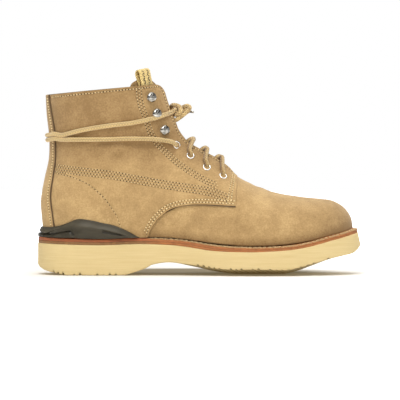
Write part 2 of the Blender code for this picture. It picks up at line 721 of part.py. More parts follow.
def build_shank(material):
    xs = np.linspace(46, 146, 9)
    return slab("steel_shank", xs, lambda x: 8.5, seat_below(GAP + 0.5), seat_below(GAP + 2.1),
                material, columns=3)


# ---------------------------------------------------------------- hardware
def eyelet_profile():
    top = QUARTER[1] + GAP
    low = LINING[0] - 1.3
    return [(EYELET_BORE_R, low - 0.4), (EYELET_BARREL_R + 0.4, low - 0.4),
            (EYELET_BARREL_R + 0.4, low), (EYELET_BARREL_R, low), (EYELET_BARREL_R, top),
            (EYELET_FLANGE_R, top), (EYELET_FLANGE_R - 0.5, top + EYELET_FLANGE_THICK),
            (EYELET_BORE_R + 0.4, top + EYELET_FLANGE_THICK), (EYELET_BORE_R, top + 0.2),
            (EYELET_BORE_R, low - 0.4)]


def rivet_profile():
    low = LINING[0] - 1.6
    return [(0, low - 0.8), (1.8, low - 0.7), (RIVET_HEAD_R, low - 0.4), (RIVET_HEAD_R, low),
            (RIVET_R, low), (RIVET_R, QUARTER[1]), (0, QUARTER[1])]


def hook_outline():
    """Bent strip of a lace hook: (back, height, half-width) down its middle line."""
    base, cap, lift = HOOK_BASE_R, HOOK_CAP_R, HOOK_CAP_LIFT
    rows = []
    for a in np.linspace(0, 0.72 * math.pi, 5):
        rows.append((base * math.cos(a), 0.0, base * math.sin(a)))
    neck = rows[-1][0] - 1.2
    for a in np.linspace(0, math.pi, 5):
        rows.append((neck - 0.5 * lift * math.sin(a), 0.5 * lift * (1 - math.cos(a)), 1.9))
    for a in np.linspace(0.74 * math.pi, 0, 6):
        x = cap * math.cos(a)
        rows.append((x - 0.4, lift + 0.9 * (1 - (x / cap) ** 2), cap * math.sin(a)))
    return np.array(rows)


def build_hook(name, frame, material):
    """Lace hook: a riveted disc whose front end curls up and over into a domed round cap."""
    origin, down, across, out = frame
    toward_back = -down
    rows = hook_outline()
    sheet = 0.7
    step = np.gradient(rows[:, :2], axis=0)
    step /= np.linalg.norm(step, axis=1, keepdims=True)
    level = np.stack([-step[:, 1], step[:, 0]], axis=1) * sheet * 0.5
    start = QUARTER[1] + GAP + 0.5 * sheet
    points = []
    for (back, height, half), lean in zip(rows, level):
        for side, face in ((-1, -1), (1, -1), (1, 1), (-1, 1)):
            b, h = back + face * lean[0], height + face * lean[1]
            points.append(origin + toward_back * b + out * (start + h)
                          + across * side * max(half, 0.3))
    faces = grid_faces(len(rows), 4, 0, True)
    faces += [(0, 1, 2, 3), tuple(range(len(points) - 4, len(points)))]
    return make_object(name, points, faces, material)


def hardware_frames(places, side):
    found = []
    for x, z in places:
        u, w = locate(x, z)
        found.append(axes_at(u, side * w))
    return found


def build_hole_cutter(name, side):
    """All the holes of one facing: an eyelet bore or a rivet hole at each place."""
    steel = material("cutter", (1, 0, 1), 0.5)
    pieces = []
    for radius, places in ((EYELET_BARREL_R + GAP, EYELETS), (RIVET_R + GAP, HOOKS)):
        for frame in hardware_frames(places, side):
            profile = [(0, -6.0), (radius, -6.0), (radius, 5.0), (0, 5.0)]
            pieces.append(turned("hole", frame, profile, 10, steel))
    joined = bmesh.new()
    for piece in pieces:
        joined.from_mesh(piece.data)
        bpy.data.objects.remove(piece)
    mesh = bpy.data.meshes.new(name)
    joined.to_mesh(mesh)
    joined.free()
    obj = bpy.data.objects.new(name, mesh)
    bpy.context.scene.collection.objects.link(obj)
    return as_cutter(obj)


# ---------------------------------------------------------------- lace
def rounded(points, radius, steps=3):
    """Polyline with its sharp corners replaced by arcs."""
    points = [np.asarray(p, float) for p in points]
    made = [points[0]]
    for a, b, c in zip(points, points[1:], points[2:]):
        to_a, to_c = a - b, c - b
        la, lc = np.linalg.norm(to_a), np.linalg.norm(to_c)
        to_a, to_c = to_a / la, to_c / lc
        angle = math.acos(float(np.clip(to_a @ to_c, -1, 1)))
        if angle > math.radians(158):
            made.append(b)
            continue
        cut_back = min(radius / math.tan(angle / 2), 0.48 * la, 0.48 * lc)
        arc = cut_back * math.tan(angle / 2)
        toward = (to_a + to_c) / np.linalg.norm(to_a + to_c)
        middle = b + toward * math.hypot(cut_back, arc)
        first, last = b + to_a * cut_back - middle, b + to_c * cut_back - middle
        for t in np.linspace(0, 1, steps):
            spoke = first * (1 - t) + last * t
            made.append(middle + spoke * (arc / np.linalg.norm(spoke)))
    made.append(points[-1])
    return made


def at_width(u, y, distance):
    """Point at station u and sideways distance y from the middle, near the front."""
    side = 1 if y >= 0 else -1
    return offset_point(u, side * share_at_width(u, abs(y)), distance)


def bore_points(u, w, side):
    """Lace centre line through one eyelet, from below it to above it."""
    heights = (LACE_UNDER, LACE_OVER)
    return [offset_point(u, side * w, h) for h in heights]


def crossing(low, high, side, over):
    """Lace from an eyelet up over its facing's edge, across, and under to the next eyelet."""
    (u0, _), (u1, _) = low, high
    edge0, edge1 = float(facing_half_gap(u0)), float(facing_half_gap(u1))
    level = 0.7 if over else -3.3

    def mid(t):
        return u0 + (u1 - u0) * t

    return [at_width(mid(0.12), side * (edge0 + 1.5), 4.6),
            at_width(mid(0.24), side * (edge0 - 2.2), 4.0 if over else 3.0),
            at_width(mid(0.40), side * 4.6, level), at_width(mid(0.60), side * -4.6, level),
            at_width(mid(0.78), side * -(edge1 - 1.6), -5.2),
            at_width(mid(0.88), side * -(edge1 + 2.0), LACE_UNDER)]


def zigzag(side, sites):
    """One side's lace from the lowest eyelet to the highest, changing sides at each crossing."""
    points = bore_points(*sites[0], side)
    here = side
    for k in range(3):
        over = (k % 2 == 0) == (side > 0)
        points += crossing(sites[k], sites[k + 1], here, over)
        here = -here
        points += bore_points(*sites[k + 1], here)
    return points, here


# Lace round the ankle as (x, z) seen from the side: back from the top eyelet, and on to the knot.
ANKLE_BACK = ((124.0, 127.0), (111.6, 128.6), (89.8, 128.6), (68.1, 127.6), (44, 127.4),
              (26, 127.4))
ANKLE_FORWARD = ((26, 134.4), (46.3, 138.4), (68.1, 142.0), (89.8, 143.6), (104.0, 143.8),
                 (113.5, 144.6), (121.0, 147.6))


def on_side(places, side, distance):
    return [offset_point(u, side * w, distance) for u, w in locate_all(places, 11)]


def round_back(side, first_z, last_z, rise):
    """Across the back, from one side to the other at changing height and clearance."""
    points = []
    for t in np.linspace(0, 1, 7):
        z = first_z + (last_z - first_z) * (0.5 - 0.5 * math.cos(math.pi * t))
        u = float(np.interp(-z, (-150.0, -129.0, -108.5), (2, 3, 4)))
        reach = 20.0 / section_length(u)
        w = side * (1 - reach + 2 * reach * t)
        clear = BACKSTAY[1] + GAP + LACE_R + 0.4 + rise * math.sin(math.pi * t)
        points.append(offset_point(u, w, clear))
    return points


def knot_end(side):
    """Lace from the facing's edge to the middle, across it, and out to its free end."""
    if side > 0:
        return [at_width(3.25, 15.0, 4.8), at_width(3.0, 6.0, 2.6), at_width(3.0, -5.0, 2.6),
                (132.5, -10.0, 156.0), (138.0, -11.0, 160.0), (144.0, -9.0, 158.5),
                (147.5, -7.0, 153.0)]
    return [at_width(3.25, -15.0, 4.8), at_width(3.0, -6.0, 6.8), at_width(3.0, 5.0, 6.8),
            (136.0, 10.0, 152.5), (142.0, 11.0, 150.5), (148.0, 9.0, 145.0), (151.0, 7.0, 138.0)]


def lace_half(side, sites):
    """Lace from the lowest crossbar to one free end."""
    points, top = zigzag(side, sites)
    ride = QUARTER[1] + GAP + LACE_R + 0.4
    points += on_side(ANKLE_BACK, top, ride)
    first_z, last_z, rise = (128.4, 133.4, 3.9) if top > 0 else (128.4, 133.4, 0.0)
    points += round_back(top, first_z, last_z, rise)
    points += on_side(ANKLE_FORWARD, -top, ride)
    return points + knot_end(-top)


def lace_path():
    sites = [locate(x, z) for x, z in EYELETS]
    lateral, medial = lace_half(-1, sites), lace_half(1, sites)
    bar_u, bar_w = sites[0]
    bar = [at_width(bar_u, y, LACE_UNDER) for y in (-8.0, 0.0, 8.0)]
    return rounded(lateral[::-1] + bar + medial, 2.0)


def build_lace_and_tips(cord, tip_material):
    path = np.array(lace_path())
    made = [tube("lace", path, LACE_R, 5, cord)]
    for name, end, before in (("lace_tip_lateral", path[0], path[1]),
                              ("lace_tip_medial", path[-1], path[-2])):
        along_tip = (end - before) / np.linalg.norm(end - before)
        line = [end + along_tip * s for s in (GAP, 5.0, 11.0)]
        made.append(tube(name, line, LACE_R + 0.1, 8, tip_material))
    return made


# ---------------------------------------------------------------- tongue loop
LOOP_WIDTH, LOOP_THICK, LOOP_RISE = 12.0, 1.1, 13.0
LOOP_STATION, LOOP_SIDE = 0.80, 19.5   # where it is sewn on, and how far from the middle


def build_tongue_loop(material):
    """Webbing loop that stands on the tongue's outer face, near its top edge."""
    w = -share_at_width(LOOP_STATION, LOOP_SIDE)
    _, down, side, out = axes_at(LOOP_STATION, w)
    origin = offset_point(LOOP_STATION, w, -4.5)
    up = -down
    outline = [(0.0, 0.35), (0.8, 0.35), (3.0, 1.2), (0.72 * LOOP_RISE, 1.4),
               (LOOP_RISE, 3.4), (0.75 * LOOP_RISE, 5.6), (3.4, 4.4), (0.8, 2.0), (0.0, 2.0)]
    path = catmull(outline, np.linspace(0, len(outline) - 1, 17))
    step = np.gradient(path, axis=0)
    step /= np.linalg.norm(step, axis=1, keepdims=True)
    lean = np.stack([-step[:, 1], step[:, 0]], axis=1) * 0.5 * LOOP_THICK
    points = []
    for p, n in zip(path, lean):
        for across, face in ((-1, -1), (1, -1), (1, 1), (-1, 1)):
            h, d = p + face * n
            points.append(origin + up * h + out * (d + 0.4) + side * across * LOOP_WIDTH / 2)
    faces = grid_faces(len(path), 4, 0, True)
    faces += [(0, 1, 2, 3), tuple(range(len(points) - 4, len(points)))]
    loop = make_object("tongue_loop", points, faces, material)
    hang_on(loop, origin + out * 1.2)


# ---------------------------------------------------------------- whole boot
def build_upper(suede, lining, board, steel, rubber):
    build_vamp(suede)
    build_backstay(suede)
    build_tongue(suede)
    build_toe_cap(steel)
    build_vamp_lining(lining)
    build_heel_counter(board)
    build_heel_stabilizer(rubber)
    for word, side in (("lateral", -1), ("medial", 1)):
        cutter = build_hole_cutter(f"holes_{word}", side)
        for piece in (build_quarter(f"quarter_{word}", side, suede),
                      build_eyestay(f"eyestay_{word}", side, board),
                      build_quarter_lining(f"quarter_lining_{word}", side, lining)):
            cut(piece, cutter)


def build_sole(foam, leather, cork, steel, board, cloth):
    build_outsole(foam)
    build_midsole(leather)
    build_welt(leather)
    build_shank(steel)
    build_inner_slab("cork_filler", 150.0, 266.0, 0.74, -GAP, WELT_THICK - 0.3, cork, True, 12)
    build_inner_slab("insole_board", 16.5, 288.5, 0.83, GAP + INSOLE_THICK, INSOLE_THICK, board)
    loose = build_inner_slab("footbed", 18.5, 284.0, 0.78, 2 * GAP + INSOLE_THICK + FOOTBED_THICK,
                             FOOTBED_THICK, cloth)
    hang_on(loose, FOOTBED_HINGE)


def build_hardware(chrome, brass):
    for word, side in (("lateral", -1), ("medial", 1)):
        for k, frame in enumerate(hardware_frames(EYELETS, side), 1):
            turned(f"eyelet_{word}_{k}", frame, eyelet_profile(), 10, chrome)
        for k, frame in enumerate(hardware_frames(HOOKS, side), 1):
            build_hook(f"hook_{word}_{k}", frame, chrome)
            turned(f"hook_rivet_{word}_{k}", frame, rivet_profile(), 8, brass)


def main():
    for obj in list(bpy.data.objects):
        bpy.data.objects.remove(obj)
    suede = material("suede", (0.47, 0.32, 0.14), 0.95)
    lining = material("lining cloth", (0.30, 0.22, 0.13), 0.9)
    board = material("fibre board", (0.50, 0.42, 0.30), 0.85)
    steel = material("steel", (0.55, 0.56, 0.58), 0.35, 1.0)
    chrome = material("chrome", (0.86, 0.87, 0.88), 0.12, 1.0)
    brass = material("brass", (0.72, 0.53, 0.22), 0.3, 1.0)
    rubber = material("dark rubber", (0.08, 0.068, 0.05), 0.6)
    foam = material("cream sole rubber", (0.82, 0.62, 0.31), 0.7)
    leather = material("brown leather", (0.33, 0.15, 0.065), 0.55)
    cork = material("cork", (0.45, 0.28, 0.13), 0.9)
    cord = material("lace cord", (0.62, 0.45, 0.20), 0.8)
    webbing = material("webbing", (0.81, 0.64, 0.27), 0.85)
    tip = material("lace tip plastic", (0.45, 0.30, 0.14), 0.3)
    build_upper(suede, lining, board, steel, rubber)
    build_sole(foam, leather, cork, steel, board, lining)
    build_hardware(chrome, brass)
    build_lace_and_tips(cord, tip)
    build_tongue_loop(webbing)


main()
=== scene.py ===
"""Looks of the steel toe lace-up work boot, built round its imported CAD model.

Lengths are in millimetres in the boot's own design coordinates: x from the back of the heel to the
toe, y positive on the inner side, z up from the ground. `world` turns them into scene metres.
The leather is cut from one reference surface, addressed by (station, share): the station number
runs down the front of the boot from the collar to the toe, and the share runs round each section
from 0 at the front line to +1 (inner side) or -1 (outer side) at the back line or the welt.
"""

import json
import math

import bmesh
import bpy
import numpy as np
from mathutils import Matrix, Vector, kdtree, noise

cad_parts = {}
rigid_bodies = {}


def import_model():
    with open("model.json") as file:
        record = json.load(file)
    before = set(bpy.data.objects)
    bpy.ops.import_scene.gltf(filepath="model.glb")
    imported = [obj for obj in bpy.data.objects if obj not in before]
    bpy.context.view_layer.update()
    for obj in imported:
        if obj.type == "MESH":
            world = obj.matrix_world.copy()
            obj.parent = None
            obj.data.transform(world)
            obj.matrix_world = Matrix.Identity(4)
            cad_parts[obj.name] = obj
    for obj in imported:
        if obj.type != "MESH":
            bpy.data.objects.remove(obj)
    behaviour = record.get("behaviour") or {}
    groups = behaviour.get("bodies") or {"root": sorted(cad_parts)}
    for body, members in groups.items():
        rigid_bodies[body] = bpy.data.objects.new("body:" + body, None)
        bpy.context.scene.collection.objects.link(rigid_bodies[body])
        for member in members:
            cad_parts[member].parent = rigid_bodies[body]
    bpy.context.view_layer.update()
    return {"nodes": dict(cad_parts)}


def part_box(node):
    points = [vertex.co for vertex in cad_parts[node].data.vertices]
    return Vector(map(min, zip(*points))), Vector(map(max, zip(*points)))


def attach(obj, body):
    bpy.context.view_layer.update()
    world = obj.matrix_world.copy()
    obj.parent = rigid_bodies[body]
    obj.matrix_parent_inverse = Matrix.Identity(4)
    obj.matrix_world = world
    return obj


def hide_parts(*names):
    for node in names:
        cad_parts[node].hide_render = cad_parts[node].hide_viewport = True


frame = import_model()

MM = 0.001
SOLE_BACK = -0.8                # design x of the outsole's rearmost point
ORIGIN = np.array([SOLE_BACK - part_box("outsole")[0].x / MM, 0.0, 0.0])
BOOT = "boot"
rng = np.random.default_rng(7)

# ---------------------------------------------------------------- reference surface tables
# front x, front z, back x, back z, half-width, where it is widest, squareness
STATIONS = [
    (115.5, 194.0, 9.5, 190.0, 38.5, 0.50, 2.2),
    (119.0, 179.5, 10.8, 169.6, 37.5, 0.50, 2.2),
    (123.0, 165.5, 11.8, 150.0, 36.5, 0.50, 2.2),
    (127.5, 153.5, 14.0, 129.0, 35.5, 0.50, 2.2),
    (131.5, 145.0, 13.6, 108.5, 34.5, 0.50, 2.2),
    (135.0, 139.0, 9.4, 89.0, 34.0, 0.52, 2.1),
    (138.2, 134.5, 6.0, 69.5, 34.0, 0.54, 2.1),
    (141.0, 131.2, 7.2, 51.0, 34.5, 0.56, 2.1),
    (143.5, 128.5, 8.7, 35.5, 34.5, 0.58, 2.1),
    (146.2, 126.0, 18.6, 35.3, 34.8, 0.60, 2.1),
    (149.5, 123.2, 40.5, 34.8, 35.0, 0.62, 2.1),
    (153.8, 120.2, 66.0, 34.2, 35.2, 0.62, 2.1),
    (159.2, 116.8, 92.0, 35.0, 35.4, 0.62, 2.0),
    (165.5, 113.0, 117.0, 35.2, 36.0, 0.62, 2.0),
    (172.5, 108.2, 141.0, 33.3, 38.2, 0.64, 1.9),
    (179.8, 101.5, 162.5, 30.5, 41.6, 0.66, 1.9),
    (187.5, 92.8, 184.0, 28.2, 45.4, 0.68, 1.9),
    (203.0, 84.8, 203.0, 27.4, 48.6, 0.70, 2.0),
    (225.0, 77.0, 226.0, 28.2, 49.6, 0.70, 2.1),
    (248.0, 73.0, 248.0, 30.8, 47.2, 0.70, 2.2),
]
COLLAR, HEEL_CORNER, THROAT = 1, 8, 16
HEEL_AXIS = (42.0, 0.0, 0.0)
TOE_START, TOE_TIP, TOE_TOP, TOE_TIP_Z, TOE_STEPS = 267.0, 298.0, 71.0, 44.2, 4
FEATHER_HEEL_X, FEATHER_HEEL_R, FEATHER_TOE_CENTRE = 9.5, 31.0, 230.0
FEATHER_WIDTH = ((40.5, 33.0), (66, 33.6), (92, 31.2), (117, 31.0), (141, 34.4), (162.5, 39.2),
                 (184, 43.2), (203, 46.4), (230, 47.6))
SEAT_HEIGHT = ((0, 35.4), (60, 34.0), (96, 35.1), (106, 35.0), (125, 34.2), (134, 33.4),
               (144, 32.1), (153, 30.6), (162, 29.1), (172, 28.0), (183, 27.2), (200, 26.9),
               (219, 27.6), (238, 29.0), (257, 32.2), (267, 34.7), (276, 37.1), (286, 39.4),
               (295, 41.8), (303, 43.9), (309, 45.2))
CENTRE_SHIFT = ((0, 0), (60, 0), (90, -2.0), (125, -4.0), (160, -4.0), (190, -2.5), (215, -0.5),
                (245, 2.5), (275, 4.0), (306, 4.5))
SHIFT_FADE = (60.0, 125.0)
SOLE_HEEL_R, SOLE_TOE_CENTRE, SOLE_TOE_R = 38.0, 225.0, 77.6
SOLE_START, SOLE_END = -0.5, 302.8
SOLE_WIDTH = ((38, 37.0), (60, 37.4), (90, 34.6), (120, 34.4), (150, 40.0), (180, 47.4),
              (205, 52.4), (225, 53.6))
SOLE_BOTTOM = ((-2, 10.5), (0.5, 8.0), (3, 6.2), (7, 4.4), (14.7, 2.4), (19.3, 1.5), (26, 0.3),
               (31, 0), (80, 0), (94, 3.7), (102.5, 6.8), (108, 9.9), (121, 11.8), (148, 7.0),
               (170, 2.2), (190, 0), (232, 0), (245, 2.6), (256, 6.3), (276, 13.7), (289, 17.0),
               (296.7, 18.9), (301, 21.6), (306, 26.5))
CROWN = ((0, 0.0), (110, 0.0), (160, 3.6), (200, 5.9), (245, 4.9), (275, 2.2), (306, 0.8))
WELT_THICK, MIDSOLE_THICK, GAP = 3.1, 2.0, 0.3
SOLE_TOP_DROP = WELT_THICK + MIDSOLE_THICK + 2 * GAP

# Cutting and stitching lines seen from the side, as (x, z).
QUARTER_LOWER_EDGE = ((104.5, 35.6), (106.5, 42), (113, 52), (124, 61), (136, 64.6), (150, 65.8),
                      (168, 65.2), (187.2, 63.8))
STABILIZER_EDGE = ((7.5, 45.0), (17, 45.0), (27, 47.6), (35, 51.3), (42, 52.5), (52, 51.3),
                   (62, 49.2), (73, 46.8), (84, 42.6), (92, 38.4), (97, 35.9))
EYELETS = ((174.2, 91.8), (159.0, 100.0), (143.6, 111.0), (130.2, 121.6))
HOOKS = ((117.8, 136.0), (110.6, 150.9), (105.4, 166.4))
FACING_HALF_GAP, FACING_CORNER_R = (13.5, 10.5), 10.0
FACING_ROWS = ((94.8, 175.2), (96.6, 161.2), (100.9, 149.2), (106, 134), (112.2, 123.6),
               (123.6, 111.6), (136, 101.4), (154.8, 89.6), (171.0, 82.2))
ANKLE_ROWS = ((19, 100.0), (40.9, 97.3), (73.4, 93.3), (106.1, 86.9), (133.2, 82.4),
              (162.4, 77.6), (182.0, 70.0))
COUNTER_ROW = ((19, 95.4), (35.4, 91.1), (49.5, 84.6), (61.6, 74.2), (70.3, 63.4), (75.7, 54.6),
               (77.2, 50.0), (79.4, 44.4))
ANKLE_FOLD = ((58, 122.5), (78, 124.0), (98, 121.5), (116, 121.0), (128, 117.0))
FACING_INSET = 3.0
STATION_DROP = 15.0             # height between stations near the collar
FAR = 1e3                       # further than any two points of the boot

# Painted light (+), partly worn pale leather, and painted shade (-) on the leather: x, z, reach
# along x, reach along z, change.
PAINTED_SHADING_SPOTS = ((215, 68, 26, 12, 0.14), (42, 66, 22, 16, 0.22), (42, 158, 40, 18, -0.28))


# ---------------------------------------------------------------- curves
def pchip(table, x):
    """Value at x of a smooth curve through the (x, value) pairs that never overshoots them."""
    knots, values = np.array(table, float).T
    step, rise = np.diff(knots), np.diff(values)
    slope = rise / step
    tangent = np.zeros(len(knots))
    tangent[0], tangent[-1] = slope[0], slope[-1]
    same = slope[:-1] * slope[1:] > 0
    left, right = 2 * step[1:] + step[:-1], step[1:] + 2 * step[:-1]
    with np.errstate(divide="ignore", invalid="ignore"):
        mean = (left + right) / (left / slope[:-1] + right / slope[1:])
    tangent[1:-1] = np.where(same, mean, 0.0)
    x = np.clip(np.asarray(x, float), knots[0], knots[-1])
    i = np.clip(np.searchsorted(knots, x, side="right") - 1, 0, len(step) - 1)
    t = (x - knots[i]) / step[i]
    return (values[i] * (1 + 2 * t) * (1 - t) ** 2 + values[i + 1] * t * t * (3 - 2 * t)
            + step[i] * (tangent[i] * t * (1 - t) ** 2 + tangent[i + 1] * t * t * (t - 1)))


def catmull(rows, u):
    """Point at u of a Catmull-Rom curve whose knots are rows 0, 1, 2 and so on."""
    rows = np.asarray(rows, float)
    padded = np.vstack([2 * rows[0] - rows[1], rows, 2 * rows[-1] - rows[-2]])
    u = np.clip(np.asarray(u, float), 0, len(rows) - 1)
    i = np.minimum(u.astype(int), len(rows) - 2)
    t = (u - i)[..., None]
    a, b, c, d = (padded[i + k] for k in range(4))
    return 0.5 * (2 * b + (c - a) * t + (2 * a - 5 * b + 4 * c - d) * t**2
                  + (3 * b - a - 3 * c + d) * t**3)


def run_along(points, axis=0):
    """Length from the start of a polyline, or along one axis of a grid of points."""
    steps = np.linalg.norm(np.diff(points, axis=axis), axis=-1)
    return np.insert(np.cumsum(steps, axis=axis), 0, 0.0, axis=axis)


def resample(points, count=None, pitch=None):
    """Points evenly spaced along a polyline."""
    points = np.asarray(points, float)
    run = run_along(points)
    if count is None:
        count = max(2, int(round(run[-1] / pitch)) + 1)
    want = np.linspace(0, run[-1], count)
    return np.stack([np.interp(want, run, column) for column in points.T], axis=1)


def smooth_line(points, each=24):
    """Smooth curve through the given points, with this many points for each of them."""
    return catmull(points, np.linspace(0, len(points) - 1, each * len(points)))


def smoothstep(low, high, x):
    """0 below low, 1 above high, and a smooth step between them."""
    t = np.clip((np.asarray(x, float) - low) / (high - low), 0, 1)
    return t * t * (3 - 2 * t)


def bell(x, middle, reach):
    """1 at the middle, falling smoothly to nearly 0 at twice the reach."""
    return np.exp(-((x - middle) / reach) ** 2)


def unit(v):
    """Vectors of length 1 along the given ones."""
    return v / np.maximum(np.linalg.norm(v, axis=-1, keepdims=True), 1e-9)


def left_of(line):
    """Unit directions to the left of a line in a plane."""
    ahead = unit(np.gradient(line, axis=0))
    return np.stack([-ahead[:, 1], ahead[:, 0]], axis=1)


def seat(x):
    """Height of the welt's top face."""
    return pchip(SEAT_HEIGHT, x)


def centre(x, z=0.0):
    """Sideways shift of the boot's middle."""
    return pchip(CENTRE_SHIFT, x) * (1 - smoothstep(*SHIFT_FADE, z))


def rounded_width(table, x, heel_x, heel_r, toe_x, toe_r):
    """Half-width from a table, closed by a quarter ellipse before heel_x and after toe_x."""
    x = np.asarray(x, float)
    heel = np.clip((heel_x - x) / heel_r, 0, 1)
    toe = np.clip((x - toe_x) / toe_r, 0, 1)
    return pchip(table, x) * np.sqrt(1 - heel**2) * np.sqrt(1 - toe**2)


def feather_width(x):
    """Half-width of the upper where it meets the welt."""
    return rounded_width(FEATHER_WIDTH, x, FEATHER_HEEL_X + FEATHER_HEEL_R, FEATHER_HEEL_R,
                         FEATHER_TOE_CENTRE, TOE_TIP - FEATHER_TOE_CENTRE)


def sole_width(x):
    """Half-width of the sole's top edge."""
    return rounded_width(SOLE_WIDTH, x, SOLE_HEEL_R, SOLE_HEEL_R - SOLE_START, SOLE_TOE_CENTRE,
                         SOLE_TOE_R)


# ---------------------------------------------------------------- reference surface
def toe_stations():
    """Sections of the toe cap's dome, closer together towards its tip."""
    rows = []
    for turn in np.linspace(0, 0.5 * math.pi, TOE_STEPS + 1):
        x = TOE_START + (TOE_TIP - TOE_START) * math.sin(turn)
        top = TOE_TIP_Z + (TOE_TOP - TOE_TIP_Z) * math.cos(turn)
        wide = feather_width(x) * (1.0 + 0.03 * math.cos(turn))
        rows.append((x, top, x, seat(x), wide, 0.72, 2.3))
    return rows


ROWS = np.array(STATIONS + toe_stations())
LAST = len(ROWS) - 1
SHARES = 0.5 - 0.5 * np.cos(np.linspace(0, math.pi, 97))


def ends(u):
    """Front end, back end, half-width, its place and the exponent of the sections at u."""
    whole = catmull(ROWS, u)
    back = catmull(ROWS[:HEEL_CORNER + 1, 2:4], np.minimum(u, HEEL_CORNER))
    under = catmull(ROWS[HEEL_CORNER:, 2:4], np.maximum(u - HEEL_CORNER, 0))
    foot = np.where((u < HEEL_CORNER)[..., None], back, under)
    return whole[..., 0:2], foot, np.maximum(whole[..., 4], 1e-4), whole[..., 5], whole[..., 6]


def half_width(u, share):
    """Half-width of the section at u, at a share of the way from its front to its back end."""
    _, foot, wide, at, square = ends(u)
    turn = np.clip((u - HEEL_CORNER) / 2, 0, 1) * 0.5 * math.pi
    open_end = np.where(u < HEEL_CORNER + 2, np.sin(turn) * FEATHER_WIDTH[0][1],
                        feather_width(foot[..., 0]))
    close = 1 - np.clip(open_end / wide, 0, 1) ** square
    front = np.clip(1 - share / at, 0, 1)
    rear = np.clip((share - at) / (1 - at), 0, 1)
    return (wide * np.maximum(1 - front**square, 0) ** (1 / square)
            * np.maximum(1 - close * rear**square, 0) ** (1 / square))


def flat_sections(u, share):
    """(x, z) at a share of the way from the front to the back end of the sections at u."""
    tip, foot, *_ = ends(u)
    return tip + (foot - tip) * share[..., None]


def section_run(u):
    """Arc length along each section, at SHARES."""
    u = np.asarray(u, float)[:, None]
    y = half_width(np.repeat(u, len(SHARES), 1), SHARES[None, :])
    return run_along(np.dstack([flat_sections(u, SHARES[None, :]), y]), 1)


GRID_U = np.linspace(0, LAST, 40 * LAST + 1)
GRID_W = np.linspace(-1, 1, 281)


def surface_grids():
    """Points and outward normals of the reference surface on GRID_U x GRID_W, and the length of
    one half of each section."""
    run = section_run(GRID_U)
    share = np.array([np.interp(np.abs(GRID_W) * r[-1], r, SHARES) for r in run])
    u = np.repeat(GRID_U[:, None], len(GRID_W), 1)
    flat = flat_sections(u, share)
    y = centre(flat[..., 0], flat[..., 1]) + np.sign(GRID_W) * half_width(u, share)
    points = np.stack([flat[..., 0], y, flat[..., 1]], axis=-1)
    across = np.gradient(points, axis=1)
    joined = u[:, 0] <= HEEL_CORNER
    across[joined, 0] = across[joined, -1] = 0.5 * (points[joined, 1] - points[joined, -2])
    n = unit(np.cross(np.gradient(points, axis=0), across))
    n[-2:] = n[-3]
    for edge, inner in ((0, 3), (-1, -4)):
        n[~joined, edge] = n[~joined, inner]
    radial = unit((points - HEEL_AXIS) * (1, 1, 0))
    part = (smoothstep(0.6, 0.8, np.abs(GRID_W))[None, :]
            * smoothstep(HEEL_CORNER - 1.0, HEEL_CORNER - 0.2, u)
            * (1 - smoothstep(28.0, 44.0, points[..., 0])))[..., None]
    return points, unit(n * (1 - part) + radial * part), run[:, -1]


SURFACE, NORMALS, RUN = surface_grids()


def sample(grid, u, w):
    """Bilinear value of a grid; past +-1 a share goes on round the back of the shaft."""
    u, w = np.broadcast_arrays(np.asarray(u, float), np.asarray(w, float))
    w = np.where((np.abs(w) > 1) & (u <= HEEL_CORNER), w - 2 * np.sign(w), np.clip(w, -1, 1))
    fu = np.clip(u / LAST * (len(GRID_U) - 1), 0, len(GRID_U) - 1.001)
    fw = np.clip((w + 1) * 0.5 * (len(GRID_W) - 1), 0, len(GRID_W) - 1.001)
    i, j = fu.astype(int), fw.astype(int)
    a, b = (fu - i)[..., None], (fw - j)[..., None]
    return ((grid[i, j] * (1 - b) + grid[i, j + 1] * b) * (1 - a)
            + (grid[i + 1, j] * (1 - b) + grid[i + 1, j + 1] * b) * a)


def length_at(u):
    """Arc length of one half of the section at u."""
    return np.interp(u, GRID_U, RUN)


def normal_at(u, w):
    return unit(sample(NORMALS, u, w))


def surface(u, w, distance=0.0, clear=0.1):
    """Point at a distance from the reference surface, not below the welt's top face."""
    p = sample(SURFACE, u, w) + normal_at(u, w) * np.asarray(distance, float)[..., None]
    p[..., 2] = np.maximum(p[..., 2], seat(p[..., 0]) + clear)
    return p


def arc_share(u, share):
    """Share of the arc of the section at u that lies before a share of its chord."""
    run = section_run([u])[0]
    return float(np.interp(share, SHARES, run) / run[-1])


def locate(x, z):
    """(station, unsigned share) of a point given as it is seen from the side."""
    tip, foot, *_ = ends(GRID_U)
    chord, reach = foot - tip, np.array([x, z]) - tip
    side = chord[:, 0] * reach[:, 1] - chord[:, 1] * reach[:, 0]
    share = (reach * chord).sum(1) / np.maximum((chord**2).sum(1), 1e-9)
    hits = (side[:-1] * side[1:] <= 0) & (share[:-1] > -0.1) & (share[:-1] < 1.1)
    i = np.nonzero(hits)[0][0]
    t = side[i] / (side[i] - side[i + 1]) if side[i] != side[i + 1] else 0.0
    u = GRID_U[i] + t * (GRID_U[i + 1] - GRID_U[i])
    return u, arc_share(u, np.clip(share[i] + t * (share[i + 1] - share[i]), 0, 1))


def locate_all(points):
    return np.array([locate(x, z) for x, z in points])


def share_at_width(u, width):
    """Share, counted from the front, at which the section at u has this half-width."""
    front = np.linspace(0, 0.5, 200)
    return arc_share(u, np.interp(width, half_width(np.full(200, float(u)), front), front))


def facing_half_gap(u):
    """Half the width of the lacing gap, opened out where the top corner is rounded."""
    low, high = FACING_HALF_GAP
    gap = low + (high - low) * np.clip((u - COLLAR) / (THROAT - COLLAR), 0, 1)
    short = np.clip(FACING_CORNER_R - (u - COLLAR) * STATION_DROP, 0, FACING_CORNER_R)
    return gap + FACING_CORNER_R - math.sqrt(FACING_CORNER_R**2 - short**2)


